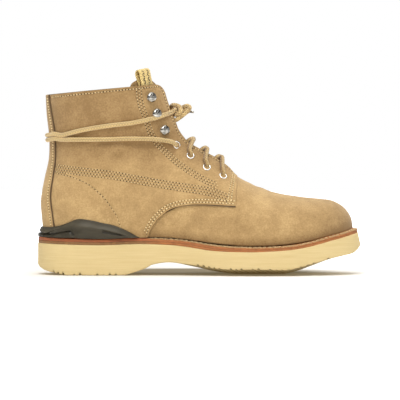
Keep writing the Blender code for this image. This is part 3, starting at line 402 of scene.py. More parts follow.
def facing_line(stations, inset=0.0):
    """Front edge of a quarter, or a line set back from it, as (station, share) rows."""
    return np.array([(u, share_at_width(u, facing_half_gap(u)) + inset / length_at(u))
                     for u in stations])


# ---------------------------------------------------------------- meshes
def world(p):
    """Scene coordinates of points given in design coordinates."""
    return (np.asarray(p, float) - ORIGIN) * MM


def new_object(name, data):
    obj = bpy.data.objects.new(name, data)
    bpy.context.scene.collection.objects.link(obj)
    return obj


def new_piece(name, points, faces, material, slot, replaces=None, body=BOOT, sharp=None):
    """Smooth mesh from design coordinates that rides on a CAD body and may replace a CAD node.
    Edges that turn by more than sharp degrees stay sharp."""
    mesh = bpy.data.meshes.new(name)
    mesh.from_pydata(world(points).tolist(), [], [tuple(f) for f in faces])
    mesh.validate()
    mesh.shade_smooth()
    if sharp:
        mesh.set_sharp_from_angle(angle=math.radians(sharp))
    mesh.materials.append(material)
    obj = new_object(name, mesh)
    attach(obj, body)
    if replaces:
        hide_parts(replaces)
    return obj


def quads(rows, columns, start=0, closed=False, looped=False, flip=False):
    """Quads between neighbouring rows of points. closed joins the last column to the first, and
    looped joins the last row to the first."""
    i, j = np.meshgrid(np.arange(rows if looped else rows - 1),
                       np.arange(columns if closed else columns - 1), indexing="ij")
    k = (j + 1) % columns
    a, b = start + i * columns, start + (i + 1) % rows * columns
    order = [a + j, a + k, b + k, b + j]
    return np.stack(order[::-1] if flip else order, axis=-1).reshape(-1, 4)


def shell_faces(rows, columns, flip, flip_wall):
    """Faces of two grids of points, one after the other, and of the wall between their rims."""
    grid = np.arange(rows * columns).reshape(rows, columns)
    rim = np.concatenate([grid[0], grid[1:, -1], grid[-1, -2::-1], grid[-2:0:-1, 0]])
    after = np.roll(rim, -1)
    wall = np.stack([rim, rim + grid.size, after + grid.size, after], axis=1)
    return np.concatenate([quads(rows, columns, flip=flip),
                           quads(rows, columns, grid.size, flip=not flip),
                           wall[:, ::-1] if flip_wall else wall])


def capped(rows, sides, flip=False):
    """Faces of a stack of rings, each with this many sides, with a flat cap at both ends."""
    caps = [np.arange(sides)[::-1], np.arange((rows - 1) * sides, rows * sides)]
    return [*quads(rows, sides, closed=True, flip=flip),
            *(cap[::-1] if flip else cap for cap in caps)]


def ring(a, b, sides):
    """Directions spread round a circle, from a towards b."""
    turns = 2 * math.pi * np.arange(sides) / sides
    return np.cos(turns)[:, None] * a + np.sin(turns)[:, None] * b


def tube(path, radius, sides):
    """Points and faces of a cord along a path."""
    path = np.asarray(path, float)
    tangent = unit(np.gradient(path, axis=0))
    side = np.cross(tangent[0], (0.3, 0.2, 1.0))
    points = []
    for p, t, r in zip(path, tangent, np.broadcast_to(radius, len(path))):
        side = unit(side - t * (side @ t))
        points.append(p + r * ring(side, np.cross(t, side), sides))
    return np.vstack(points), capped(len(path), sides, flip=True)


def merge(parts):
    """One points array and one face list from many."""
    points, faces, start = [], [], 0
    for p, f in parts:
        points.append(p)
        faces += [tuple(int(i) + start for i in face) for face in f]
        start += len(p)
    return np.vstack(points), faces


def paint(obj, name, values):
    """Stores one number for each vertex, for the materials to read."""
    layer = obj.data.attributes.new(name, "FLOAT", "POINT")
    layer.data.foreach_set("value", np.asarray(values, np.float32).ravel())


def beside(x, z, line):
    """Distance from points to a line seen from the side."""
    dense = resample(smooth_line(line, 20), 120)
    return np.min([np.hypot(x - px, z - pz) for px, pz in dense], axis=0)


def wrinkle(points, size, seed=0.0):
    """Smooth noise between about -1 and 1 at each point, with features of this size."""
    flat = np.asarray(points, float).reshape(-1, 3) / size + seed
    return np.array([noise.noise(Vector(p)) for p in flat]).reshape(np.shape(points)[:-1])


def fine_ends(count, edge=0.012):
    """Shares from 0 to 1 that crowd together at both ends, to round a piece's edges."""
    lead = np.array([0.0, 0.12, 0.3, 0.6]) * edge
    return np.concatenate([lead, np.linspace(edge, 1 - edge, count), 1 - lead[::-1]])


def rim_distance(points, sides):
    """Distance along the grid to the nearest rim, counting only the sides named in "fbse":
    first and last column, start and end row."""
    across, down = run_along(points, 1), run_along(points, 0)
    parts = {"f": across, "b": across[:, -1:] - across, "s": down, "e": down[-1:] - down}
    return np.min([np.full(points.shape[:2], FAR)] + [parts[side] for side in sides], axis=0)


def painted_shading_and_wear(p):
    """Painted light and shade of the brushed leather: painted light, partly worn leather, on the
    vamp's shoulder and over the heel, and painted shade towards the toe, round the ankle, in the
    ankle fold and just above the welt."""
    x, z = p[..., 0], p[..., 2]
    # Painted shade just above the welt (low), towards the toe, round the upper shaft and in the
    # ankle fold.
    low = 1 - smoothstep(0, 11, z - seat(x))
    toe = smoothstep(240, 292, x) * (1 - 0.35 * smoothstep(52, 72, z))
    spots = sum(change * bell(x, at_x, reach_x) * bell(z, at_z, reach_z)
                for at_x, at_z, reach_x, reach_z, change in PAINTED_SHADING_SPOTS)
    return (spots - 0.75 * low - 0.45 * toe - 0.52 * smoothstep(84, 122, z)
            - 0.25 * bell(beside(x, z, ANKLE_FOLD), 0, 3.0))


def undulation(points, lumps=0.25):
    """How far the leather stands off its ideal surface: broad slack and a soft ankle fold."""
    swell = wrinkle(points, 34.0) + 0.4 * wrinkle(points, 11.0)
    fold = beside(points[..., 0], points[..., 2], ANKLE_FOLD)
    return lumps * (swell - 2.6 * bell(fold, 0, 2.4) + 1.8 * bell(fold, 6, 3.0))


def sink(points, lines, width=1.6, depth=0.42):
    """How deep the thread pulls the leather in, near any of the stitched lines."""
    every = np.vstack(lines)
    tree = kdtree.KDTree(len(every))
    for i, p in enumerate(every):
        tree.insert(p, i)
    tree.balance()
    near = np.array([tree.find(p)[2] for p in points.reshape(-1, 3)])
    return depth * bell(near.reshape(points.shape[:-1]), 0, width)


def ruled(first, second, shares):
    """Grid of (station, share) between two lines with equal numbers of points."""
    t = shares[None, :, None]
    mixed = first[:, None, :] * (1 - t) + second[:, None, :] * t
    return mixed[..., 0], mixed[..., 1]


def hide_sheet(name, u, w, near, far, material, slot, replaces, rims="fbse", r=0.8, lumps=0.25,
               body=BOOT, press=None, clear=0.1, dark=""):
    """Closed leather or cloth piece over a (station, share) grid with softly rounded rims, from
    near to far off the reference surface. press is a list of stitched lines that sink into it, and
    dark names the rims that get a painted shadow along them, partly the cut edges' own dark stain;
    the inner face gets the same dark paint as painted shade."""
    base = surface(u, w, 0.0, clear)
    short = np.clip(r - rim_distance(base, rims), 0, r)
    far = far + undulation(base, lumps)
    if press:
        far = far - sink(base, press)
    outer = surface(u, w, far - r + np.sqrt(r * r - short**2), clear)
    inner = surface(u, w, np.broadcast_to(near, u.shape), clear)
    facing = np.cross(outer[1, 1] - outer[0, 1], outer[0, 1] - outer[0, 0])
    flip = np.dot(facing, sample(NORMALS, u[0, 1], w[0, 1])) < 0
    obj = new_piece(name, np.vstack([outer.reshape(-1, 3), inner.reshape(-1, 3)]),
                    shell_faces(*u.shape, flip, not flip), material, slot, replaces, body, sharp=62)
    # Painted light and shade of the leather's form, with some worn places, stored for the suede to
    # read.
    shade = painted_shading_and_wear(outer)
    paint(obj, "painted_shading_and_wear", [shade, shade])
    # Painted shadow along the rims named in dark, partly the cut edges' stain, and painted shade
    # over the whole inner face.
    edge = 1 - smoothstep(0.15, 1.0, rim_distance(base, dark))
    paint(obj, "edge", [edge, np.ones(u.shape)])
    return obj


# ---------------------------------------------------------------- materials
def new_node(tree, kind, inputs, output=0, **settings):
    """Shader node with its settings made and its inputs set or linked. Gives one of its outputs."""
    node = tree.nodes.new("ShaderNode" + kind)
    for name, value in settings.items():
        setattr(node, name, value)
    for key, value in inputs.items():
        feed(tree, node.inputs[key], value)
    return node.outputs[output] if node.outputs else None


def feed(tree, socket, value):
    """Links another node's output to a socket, or sets the socket's own value or colour."""
    if isinstance(value, bpy.types.NodeSocket):
        tree.links.new(value, socket)
    else:
        socket.default_value = (*value, 1.0) if isinstance(value, tuple) else value


class Recipe:
    """A material's node tree, put together one step at a time."""

    def __init__(self, name, roughness, metallic=0.0, sheen=0.0):
        self.made = bpy.data.materials.new(name)
        self.made.use_nodes = True
        self.tree = self.made.node_tree
        self.where = self.node("TexCoord", {}, "Object")
        self.normal = {}
        self.set("Roughness", roughness)
        self.set("Metallic", metallic)
        self.set("Sheen Weight", sheen)
        self.set("Sheen Roughness", 0.6)

    def node(self, kind, inputs, output=0, **settings):
        return new_node(self.tree, kind, inputs, output, **settings)

    def set(self, name, value):
        feed(self.tree, self.tree.nodes["Principled BSDF"].inputs[name], value)

    def maths(self, operation, *values):
        return self.node("Math", dict(enumerate(values)), operation=operation)

    def add(self, value, *terms):
        """value plus the terms, which are given in turn as a socket and its share."""
        for socket, share in zip(terms[::2], terms[1::2]):
            value = self.maths("MULTIPLY_ADD", socket, share, value)
        return value

    def attribute(self, name):
        return self.node("Attribute", {}, "Fac", attribute_name=name)

    def wave(self, name, rate):
        """Sine of a painted value times rate."""
        return self.maths("SINE", self.maths("MULTIPLY", self.attribute(name), rate))

    def noise(self, size, detail=3.0, stretch=(1.0, 1.0, 1.0), rough=0.55, warp=0.0):
        """Noise about zero whose features are this many millimetres across."""
        scale = [1 / (size * MM * s) for s in stretch]
        place = self.node("Mapping", {"Vector": self.where, "Scale": scale})
        value = self.node("TexNoise", {"Vector": place, "Scale": 1.0, "Detail": detail,
                                       "Roughness": rough, "Distortion": warp})
        return self.maths("SUBTRACT", value, 0.5)

    def ramp(self, value, low, high, kind="LINEAR"):
        """value stretched so that low becomes 0 and high becomes 1."""
        return self.node("MapRange", {"Value": value, "From Min": low, "From Max": high},
                         interpolation_type=kind)

    def from_middle(self, middle, reach):
        """Distance from a place in metres, in lengths of reach along each axis."""
        away = self.node("VectorMath", {0: self.where, 1: middle}, operation="SUBTRACT")
        share = self.node("VectorMath", {0: away, 1: reach}, operation="DIVIDE")
        return self.node("VectorMath", {0: share}, "Value", operation="LENGTH")

    def mix(self, factor, a, b):
        return self.node("Mix", {0: factor, 6: a, 7: b}, 2, data_type="RGBA")

    def bump(self, height, depth, strength=1.0):
        """Raises the surface by height times this many millimetres, on top of earlier bumps."""
        self.normal = {"Normal": self.node("Bump", {"Strength": strength, "Distance": depth * MM,
                                                    "Height": height, **self.normal})}
        self.set("Normal", self.normal["Normal"])


def suede_material():
    """Brushed tan leather: cloudy light and dark nap, fine fibres, painted light and shade of the
    leather's form with some worn pale places, and a near-black painted shadow along marked rims,
    partly the cut edges' own stain.
    """
    r = Recipe("suede", 0.93, sheen=0.22)
    patch = r.noise(13, 4.0, rough=0.62)
    grain = r.noise(1.5, 3.0, rough=0.7)
    # The painted attribute below adds painted light and shade of the leather's form.
    shade = r.add(0.52, r.noise(46, 4.0, rough=0.6, warp=0.6), 0.62, patch, 0.72, grain, 0.90,
                  r.attribute("painted_shading_and_wear"), 0.62)
    dark = r.mix(r.ramp(shade, 0.0, 0.5), (0.245, 0.142, 0.052), (0.418, 0.265, 0.108))
    colour = r.mix(r.ramp(shade, 0.5, 1.05), dark, (0.650, 0.442, 0.200))
    # Near-black painted shadow along the marked rims and on inner faces, partly the cut edges' own
    # stain.
    r.set("Base Color", r.mix(r.attribute("edge"), colour, (0.085, 0.048, 0.018)))
    r.set("Roughness", r.add(0.93, patch, -0.15))
    r.set("Sheen Tint", (0.95, 0.80, 0.58))
    r.bump(r.noise(9, 3.0), 0.45, 0.5)
    r.bump(grain, 0.32, 0.55)
    r.bump(r.noise(0.55, 2.0, rough=0.6), 0.16, 0.6)
    return r.made


def lining_material():
    """Brown pigskin lining with small pores and a soft handle."""
    r = Recipe("lining leather", 0.80, sheen=0.1)
    pores = r.noise(1.1, 2.0)
    shade = r.add(0.5, r.noise(30, 3.0), 0.8, pores, 0.5)
    r.set("Base Color", r.mix(shade, (0.150, 0.088, 0.040), (0.290, 0.185, 0.092)))
    r.bump(pores, 0.22, 0.7)
    return r.made


def sole_material():
    """Cream crepe-like rubber, buffed along its edge, with painted shade, partly grime, under the
    sole, in its tread grooves and in the notches of its bottom edge.
    """
    r = Recipe("sole rubber", 0.62)
    streak = r.noise(0.9, 2.0, (28.0, 28.0, 1.0))
    cell = r.noise(0.7, 2.0)
    shade = r.add(0.55, streak, 0.55, r.noise(2.6, 2.0, (16.0, 16.0, 1.0)), 0.45, cell, 0.25)
    colour = r.mix(r.ramp(shade, 0.1, 1.0), (0.600, 0.440, 0.185), (0.770, 0.620, 0.325))
    # The low attribute paints shade, partly grime, under the sole and in its grooves and notches.
    r.set("Base Color", r.mix(r.attribute("low"), colour, (0.10, 0.075, 0.035)))
    r.bump(r.add(streak, cell, 0.4), 0.22, 0.5)
    return r.made


def edge_material(name, red, brown):
    """Stained leather edge, shiny from burnishing: red to the front, brown at the heel."""
    r = Recipe(name, 0.60)
    r.set("Specular IOR Level", 0.3)
    layer = r.noise(0.8, 3.0, (12.0, 12.0, 1.0))
    spot = r.noise(5, 3.0)
    forward = r.attribute("forward")
    deep = r.mix(forward, tuple(0.55 * c for c in brown), tuple(0.6 * c for c in red))
    clean = r.mix(forward, brown, red)
    r.set("Base Color", r.mix(r.ramp(r.add(layer, spot, 0.8), -0.28, 0.3), deep, clean))
    r.set("Roughness", r.add(0.60, spot, 0.3))
    r.bump(layer, 0.3, 0.6)
    return r.made


def rubber_material():
    """Dark moulded heel support: fine spark-eroded grain, scuffs, a painted highlight along its
    ridge and painted shade in its groove and wedge.
    """
    r = Recipe("dark rubber", 0.40)
    r.set("Specular IOR Level", 0.26)
    scuff = r.noise(7, 4.0, (2.4, 1.0, 0.8))
    # Painted highlight on the ridge and painted shade in the groove and wedge.
    shade = r.add(0.42, scuff, 0.8, r.attribute("ridge"), 0.42)
    r.set("Base Color", r.mix(shade, (0.018, 0.0145, 0.008), (0.084, 0.071, 0.046)))
    r.set("Roughness", r.add(0.40, scuff, 0.35))
    r.bump(r.noise(0.45, 2.0), 0.07, 0.5)
    return r.made


def metal_material(name, colour, roughness, scratch, dirt_and_painted_dark):
    """Plated or worked metal with faint scratches and some tarnish; on the chrome the dull dark
    patches are painted reflections.
    """
    r = Recipe(name, roughness, 1.0)
    mark = r.noise(1.2, 4.0, (6.0, 1.0, 1.0))
    # dull: tarnish, and on the chrome painted dark reflections.
    dull = tuple(c * (1 - dirt_and_painted_dark) for c in colour)
    clean = r.ramp(r.add(r.noise(3.2, 3.0), mark, 0.6), -0.25, 0.3)
    r.set("Base Color", r.mix(clean, dull, colour))
    r.set("Roughness", r.add(roughness, mark, scratch))
    r.bump(mark, 0.05, 0.35)
    return r.made


def cord_material():
    """Braided cord: two sets of strands that cross, worked out from run and turn."""
    r = Recipe("lace cord", 0.85, sheen=0.25)
    run = r.maths("MULTIPLY", r.attribute("run"), 2 * math.pi / 2.6)
    turn = r.maths("MULTIPLY", r.attribute("turn"), 4.0)
    weave = r.maths("MAXIMUM", r.maths("SINE", r.maths("ADD", run, turn)),
                    r.maths("SINE", r.maths("SUBTRACT", run, turn)))
    fluff = r.noise(0.6, 2.0)
    shade = r.add(0.32, weave, 0.42, fluff, 0.5, r.noise(22, 2.0), 0.35)
    clean = r.mix(shade, (0.440, 0.290, 0.108), (0.740, 0.535, 0.235))
    # The painted attribute darkens the cord as painted shade.
    r.set("Base Color", r.mix(r.attribute("lace_painted_shade"), clean, (0.215, 0.118, 0.034)))
    r.bump(r.add(weave, fluff, 0.5), 0.30, 0.8)
    return r.made


def woven_material(name, roughness, rates, shares, cloud, light, dark, depth):
    """Cloth or webbing: threads that cross at these rates along run and turn."""
    r = Recipe(name, roughness, sheen=0.2)
    weave = r.maths("MULTIPLY", r.wave("run", rates[0]), r.wave("turn", rates[1]))
    shade = r.add(shares[0], weave, shares[1], r.noise(*cloud), shares[2])
    r.set("Base Color", r.mix(shade, dark, light))
    r.bump(weave, depth, 0.8)
    return r.made


def speckled(name, light, dark, roughness, size, depth, fleck=3.0):
    """Plain stuff with a grain: board, cork and thread."""
    r = Recipe(name, roughness, sheen=0.1)
    grain = r.noise(size, 3.0, rough=0.65)
    shade = r.add(0.5, grain, 1.3, r.noise(size * fleck, 3.0), 0.8)
    r.set("Base Color", r.mix(shade, dark, light))
    r.bump(grain, depth, 0.7)
    return r.made


SUEDE = suede_material()
LINING_HIDE = lining_material()
SOLE_RUBBER = sole_material()
WELT_EDGE = edge_material("welt leather", (0.470, 0.172, 0.056), (0.400, 0.122, 0.044))
MIDSOLE_EDGE = edge_material("midsole leather", (0.470, 0.180, 0.058), (0.330, 0.165, 0.062))
DARK_RUBBER = rubber_material()
# The chrome's strong dulling paints dark reflections across the hook caps, not tarnish.
CHROME = metal_material("chrome", (0.62, 0.59, 0.53), 0.12, 0.12, 0.82)
SILVER = metal_material("silver plate", (0.90, 0.89, 0.85), 0.24, 0.2, 0.10)
STEEL = metal_material("steel", (0.56, 0.57, 0.60), 0.36, 0.4, 0.3)
BRASS = metal_material("brass", (0.72, 0.55, 0.26), 0.34, 0.3, 0.3)
CORD = cord_material()
THREAD = speckled("thread", (0.760, 0.580, 0.300), (0.540, 0.385, 0.170), 0.75, 0.6, 0.1)
PALE_THREAD = speckled("pale thread", (0.860, 0.700, 0.390), (0.640, 0.480, 0.230), 0.75, 0.6, 0.1)
# Near-black needle holes: painted shade inside each hole.
NEEDLE_HOLE = speckled("needle hole", (0.095, 0.052, 0.016), (0.035, 0.018, 0.006), 1.0, 0.8, 0.1)
INK = speckled("dark thread", (0.090, 0.070, 0.040), (0.030, 0.022, 0.014), 0.8, 0.6, 0.1)
RAND = speckled("welt strip", (0.560, 0.370, 0.160), (0.280, 0.155, 0.060), 0.85, 1.2, 0.3)
WEBBING = woven_material("webbing", 0.9, (2 * math.pi / 1.1, 2 * math.pi / 0.8), (0.6, 0.22, 0.5),
                         (0.8, 2.0), (0.880, 0.660, 0.240), (0.500, 0.330, 0.090), 0.2)
BOARD = speckled("fibre board", (0.520, 0.430, 0.300), (0.330, 0.250, 0.150), 0.9, 0.9, 0.15)
CORK = speckled("cork", (0.540, 0.380, 0.210), (0.170, 0.100, 0.050), 0.95, 2.2, 0.5, 2.0)
CLOTH = woven_material("footbed cloth", 0.92, (4.2, 4.2), (0.5, 0.3, 0.9), (18, 3.0),
                       (0.330, 0.245, 0.150), (0.150, 0.105, 0.062), 0.25)
TIP = metal_material("lace tip", (0.50, 0.47, 0.40), 0.32, 0.3, 0.3)


# ---------------------------------------------------------------- thread work
STITCH_PITCH, THREAD_R, HOLE_R, SINK = 3.0, 0.42, 0.60, 0.30
QUARTER_FAR, BACKSTAY_FAR, VAMP_FAR = 2.1, 3.8, -0.1


def seen_line(points, shift=0.0):
    """Line seen from the side, moved sideways by shift, as (station, unsigned share) rows."""
    line = resample(smooth_line(points), pitch=2.0)
    return locate_all(line + left_of(line) * shift)


def on_surface(rows, side, distance):
    """Points along (station, unsigned share) rows."""
    return surface(rows[:, 0], side * rows[:, 1], distance)


def stitch(a, b, out, radius=THREAD_R, lift=0.30, sides=6):
    """One visible stitch: a short bowed thread whose ends go down into the leather."""
    t = np.array([0.0, 0.1, 0.35, 0.65, 0.9, 1.0])
    fat = np.array([0.25, 0.8, 1.0, 1.0, 0.8, 0.25]) * radius
    rise = lift * np.sin(math.pi * t) + 0.05
    line = a + (b - a) * t[:, None] + out * rise[:, None]
    round_it = ring(np.cross(unit(b - a), out), out, sides)
    points = line[:, None, :] + fat[:, None, None] * round_it
    return points.reshape(-1, 3), capped(len(t), sides)


def pit(p, out, radius=HOLE_R, sides=7):
    """Needle hole: a shallow cone that sits in the stitched groove, coloured near black as painted
    shade inside the hole.
    """
    across = unit(np.cross(out, (0.3, 0.1, 1.0)))
    rim = p + radius * ring(across, np.cross(out, across), sides)
    points = np.vstack([rim + out * 0.10, p + out * 0.20, p - out * 0.5])
    faces = [(i, (i + 1) % sides, sides) for i in range(sides)]
    faces += [((i + 1) % sides, i, sides + 1) for i in range(sides)]
    return points, faces


class Seams:
    """Collects every stitched row of one side, then makes its thread and its needle holes."""

    def __init__(self, side):
        self.side = side
        self.threads, self.pale, self.holes, self.lines = [], [], [], []

    def row(self, rows, distance=QUARTER_FAR, pitch=STITCH_PITCH, phase=0.0, radius=THREAD_R,
            pale=False):
        """Sews along (station, unsigned share) rows at a distance from the reference surface."""
        normals = normal_at(rows[:, 0], self.side * rows[:, 1])
        points, under = on_surface(rows, self.side, distance), on_surface(rows, self.side, 0.0)
        lifted = points + normals * (undulation(under) - SINK)[:, None]
        run = run_along(points)
        marks = np.arange(phase * pitch, run[-1], pitch)
        at = np.stack([np.interp(marks, run, column)
                       for column in np.hstack([lifted, normals]).T], axis=1)
        self.lines.append(resample(under, pitch=1.3))
        made = self.pale if pale else self.threads
        for here, there in zip(at, at[1:]):
            a, b, out = here[:3], there[:3], unit(here[3:])
            wander = np.cross(b - a, out) / pitch * rng.normal(0, 0.07)
            made.append(stitch(a + (b - a) * 0.22 + wander, b - (b - a) * 0.22, out, radius))
            hole = (0.72 if pale else 1.0) * HOLE_R
            self.holes.append(pit(a, out, hole * rng.uniform(0.8, 1.15)))

    def make(self, word):
        new_piece(f"thread_{word}", *merge(self.threads), THREAD, "lace_cord")
        new_piece(f"thread_pale_{word}", *merge(self.pale), PALE_THREAD, "lace_cord")
        new_piece(f"needle_holes_{word}", *merge(self.holes), NEEDLE_HOLE, "suede")


# ---------------------------------------------------------------- the upper
def quarter_lines(side, fine=7):
    """Front edge of a quarter, and its back, feather and lower edge, matched row by row."""
    rows = np.concatenate([[0, 0.012, 0.03, 0.06, 0.1], np.linspace(0.16, 24.84, 25 * fine),
                           [24.9, 24.95, 24.98, 25]])
    front_u = np.concatenate([[1.0, 1.12, 1.3, 1.55], np.linspace(2, THROAT, 22)])
    front = facing_line(np.interp(rows, np.arange(26), front_u))
    upright = [1.0, 1.6, 2.6, 3.6, 4.5, 5.3, 6.2, 7.1, 7.9, 8.15, 8.4, 8.75, 9.2, 9.9, 10.9, 11.9]
    # Stations and shares of the back edge down to the heel corner and along the feather edge; from
    # row 16 on it is the lower edge.
    upright = [1.0, 1.6, 2.6, 3.6, 4.5, 5.3, 6.2, 7.1, 7.9, 8.15, 8.4, 8.75, 9.2, 9.9, 10.9, 11.9]
    lower = locate_all(resample(smooth_line(QUARTER_LOWER_EDGE), 91))
    lower[-1, 0] = THROAT
    index = np.concatenate([np.arange(16), np.linspace(16, 25, 91)])
    back_u = np.interp(rows, index, np.concatenate([upright, lower[:, 0]]))
    back_w = np.interp(rows, index, np.concatenate([[0.997] * 9, [1.0] * 7, lower[:, 1]]))
    return front * (1, side), np.stack([back_u, side * back_w], axis=1)


def sew_quarter(seams):
    """The stitched rows of one quarter."""
    for k, shift in enumerate((-3.3, -1.2, 1.2, 3.3)):
        seams.row(seen_line(ANKLE_ROWS, shift), phase=0.5 * (k % 2))
    for k, shift in enumerate((-2.2, 0.0, 2.2)):
        seams.row(seen_line(FACING_ROWS, shift), phase=0.5 * (k % 2))
    seams.row(seen_line(COUNTER_ROW), pitch=3.4, radius=0.30)
    edge_line = ((105.2, 38.6),) + QUARTER_LOWER_EDGE[1:]
    for k, shift in enumerate((2.4, 4.9)):
        seams.row(seen_line(edge_line, shift), phase=0.5 * k, radius=0.62, pale=True)
    edge = facing_line(np.linspace(1.3, THROAT - 0.25, 120), FACING_INSET)
    seams.row(edge)
    seams.row(np.stack([np.full(80, COLLAR + 0.15), np.linspace(edge[0, 1] + 0.02, 0.90, 80)], 1))
    low = locate(184.0, 68.0)[1]
    for back in (0.3, 0.52):
        front = np.stack([np.full(40, THROAT - back), np.linspace(edge[-1, 1], low, 40)], 1)
        seams.row(front, radius=0.5, pale=True)


def punch(obj, holes, radius):
    """Cuts round holes, given as (place, outward axis), through a piece."""
    reach = np.array([-9.0, -3.0, 3.0, 9.0])[:, None]
    pins = [tube(place + out * reach, radius, 24) for place, out in holes]
    cutter = new_piece("cutter", *merge(pins), SUEDE, "suede")
    modifier = obj.modifiers.new("holes", "BOOLEAN")
    modifier.operation = "DIFFERENCE"
    modifier.object = cutter
    bpy.context.view_layer.update()
    cut = bpy.data.meshes.new_from_object(obj.evaluated_get(bpy.context.evaluated_depsgraph_get()))
    obj.modifiers.clear()
    obj.data = cut
    bpy.data.objects.remove(cutter)


def axes_at(u, w, back=0.0):
    """Place on the surface and the axes down the boot, across and outwards there."""
    out = normal_at(u, w)
    down = surface(u + 0.05, w) - surface(u - back, w)
    down = unit(down - out * (down @ out))
    return surface(u, w), down, np.cross(out, down), out


def hardware_at(places, side):
    """Place and axes of each fitting."""
    return [axes_at(u, side * w) for u, w in locate_all(places)]


def build_quarter(word, side):
    """Quarter with its stitched rows, which are still to be made, and its eyelet holes."""
    u, w = ruled(*quarter_lines(side), fine_ends(74))
    seams = Seams(side)
    sew_quarter(seams)
    # dark="bs" paints a shadow, partly the edges' stain, along the collar and the back and lower
    # edges.
    quarter = hide_sheet(f"quarter_{word}_hide", u, w, 0.0, QUARTER_FAR, SUEDE, "suede",
                         f"quarter_{word}", r=0.7, press=seams.lines, dark="bs")
    punch(quarter, [(place, out) for place, _, _, out in hardware_at(EYELETS, side)], 2.9)
    return seams


def vamp_rear(share):
    """Station of the vamp's hidden rear edge, from the throat down to the welt."""
    return 15.9 - 4.3 * smoothstep(0.12, 1.0, share)


def vamp_grid(rows, columns, setback=0.0, end=0.01):
    """Grid from the vamp's hidden rear edge forward to the toe, with gathered feather edges."""
    share = 2 * fine_ends(rows, 0.01) - 1
    rear = vamp_rear(np.abs(share)) + setback
    ahead = np.linspace(0, 1, columns)[None, :] ** 0.96
    u = rear[:, None] + (LAST - end - rear[:, None]) * ahead
    return u, np.broadcast_to(share[:, None], u.shape)


def build_vamp():
    u, w = vamp_grid(170, 120)
    crease = 0.35 * bell(u, 17.3, 0.5) * np.cos(9.0 * u) * (1 - np.abs(w))
    hide_sheet("vamp_hide", u, w, -1.9, VAMP_FAR + crease, SUEDE, "suede", "vamp", rims="se", r=1.2,
               lumps=0.3)
    u, w = vamp_grid(90, 60, 0.3, 0.02)
    drop = -2.4 * smoothstep(17.6, 18.9, u)
    hide_sheet("vamp_lining_hide", u, w, drop - 3.7, drop - 2.8, LINING_HIDE, "lining",
               "vamp_lining", rims="f", lumps=0.12, clear=0.6)


def build_quarter_lining(word, side):
    """Lining from the collar down, set back behind the facing, most where the loop bends."""
    front = facing_line(np.concatenate([[1.0, 1.02, 1.05], np.linspace(1.1, 15.6, 110)]))
    room = 0.14 if side < 0 else 0.03
    front[:, 1] += 0.006 + room * (1 - smoothstep(1.5, 3.0, front[:, 0]))
    edge = np.linspace(1.0, front[-1, 1] + 0.12, 40)
    back_u = np.concatenate([np.linspace(1.0, 7.9, 45), np.linspace(8.2, 10.6, 28),
                             vamp_rear(edge) - 0.05])
    back_w = np.concatenate([np.full(45, 0.998), np.full(28, 1.0), edge])
    u, w = ruled(front * (1, side), np.stack([back_u, side * back_w], 1), fine_ends(40))
    roll = 1 - smoothstep(1.0, 1.4, u)
    hide_sheet(f"quarter_lining_{word}_hide", u, w, -3.2 + 1.4 * roll, -2.1 + 1.9 * roll,
               LINING_HIDE, "lining", f"quarter_lining_{word}", rims="fs", r=0.5, lumps=0.15,
               clear=0.6)


BACKSTAY_HALF = ((1, 14.0), (2.5, 17.6), (3.4, 17.4), (4.4, 19.0), (5.5, 20.5), (6.2, 21.5),
                 (7.8, 24.5))


def build_backstay(both_seams):
    """Strip over the back seam, sewn down on both sides."""
    stations = 1.0 + 6.8 * fine_ends(100, 0.01)
    reach = pchip(BACKSTAY_HALF, stations) / length_at(stations)
    w = 1 + reach[:, None] * (2 * fine_ends(34, 0.03) - 1)
    u = np.broadcast_to(stations[:, None], w.shape)
    rows = np.stack([stations, 1 - reach + 3.0 / length_at(stations)], axis=1)
    for seams in both_seams:
        seams.row(rows[(stations > 1.1) & (stations < 7.7)], BACKSTAY_FAR + 0.15, pitch=2.6,
                  radius=0.62, pale=True)
    # dark="fb" paints a shadow, partly the edges' stain, along both cut edges of the strip.
    hide_sheet("backstay_hide", u, w, 1.4, BACKSTAY_FAR, SUEDE, "suede", "backstay", rims="fbs",
               press=[seams.lines[-1] for seams in both_seams], dark="fb")


TONGUE_HALF = ((0.55, 36.0), (0.75, 45.0), (1.0, 49.0), (2.2, 44.0), (5, 27.0), (16.4, 15.0))


def build_tongue():
    """Tongue with a drooping top edge, deepest behind the lacing."""
    share = fine_ends(130, 0.006)
    stations = 0.55 + 15.85 * share
    reach = pchip(TONGUE_HALF, stations) / length_at(stations)
    w = reach[:, None] * (2 * fine_ends(56, 0.02) - 1)
    drop = 0.45 * (1 - smoothstep(8.0, 27.0, np.abs(w) * length_at(stations)[:, None]))
    u = stations[:, None] + drop * (1 - share[:, None]) ** 8
    far = -5.0 - 3.4 * smoothstep(1.0, 3.0, u) * (1 - smoothstep(15.3, 16.3, u))
    far = far + 0.5 * wrinkle(surface(u, w), 22.0, 4.0)
    # dark="s" paints shade along the tongue's top edge, where it lies in shadow.
    hide_sheet("tongue_hide", u, w, far - 2.0, far, SUEDE, "suede", "tongue", r=1.0, body="tongue",
               dark="s")


# ---------------------------------------------------------------- heel support
SUPPORT_GROOVE = ((1.0, 40.6), (7, 38.4), (13, 37.8), (22.8, 39.6), (31, 41.0), (34.8, 37.6))
SUPPORT_WEDGE = ((61.5, 43.2), (86.0, 37.2), (78.0, 37.0), (61.5, 39.4))


def inside(x, z, corners, soft=0.7):
    """1 inside a convex outline seen from the side, 0 outside it, with a soft rim."""
    depth = np.full(x.shape, FAR)
    for (ax, az), (bx, bz) in zip(corners, corners[1:] + corners[:1]):
        length = math.hypot(bx - ax, bz - az)
        depth = np.minimum(depth, -((bx - ax) * (z - az) - (bz - az) * (x - ax)) / length)
    return smoothstep(0, soft, depth)


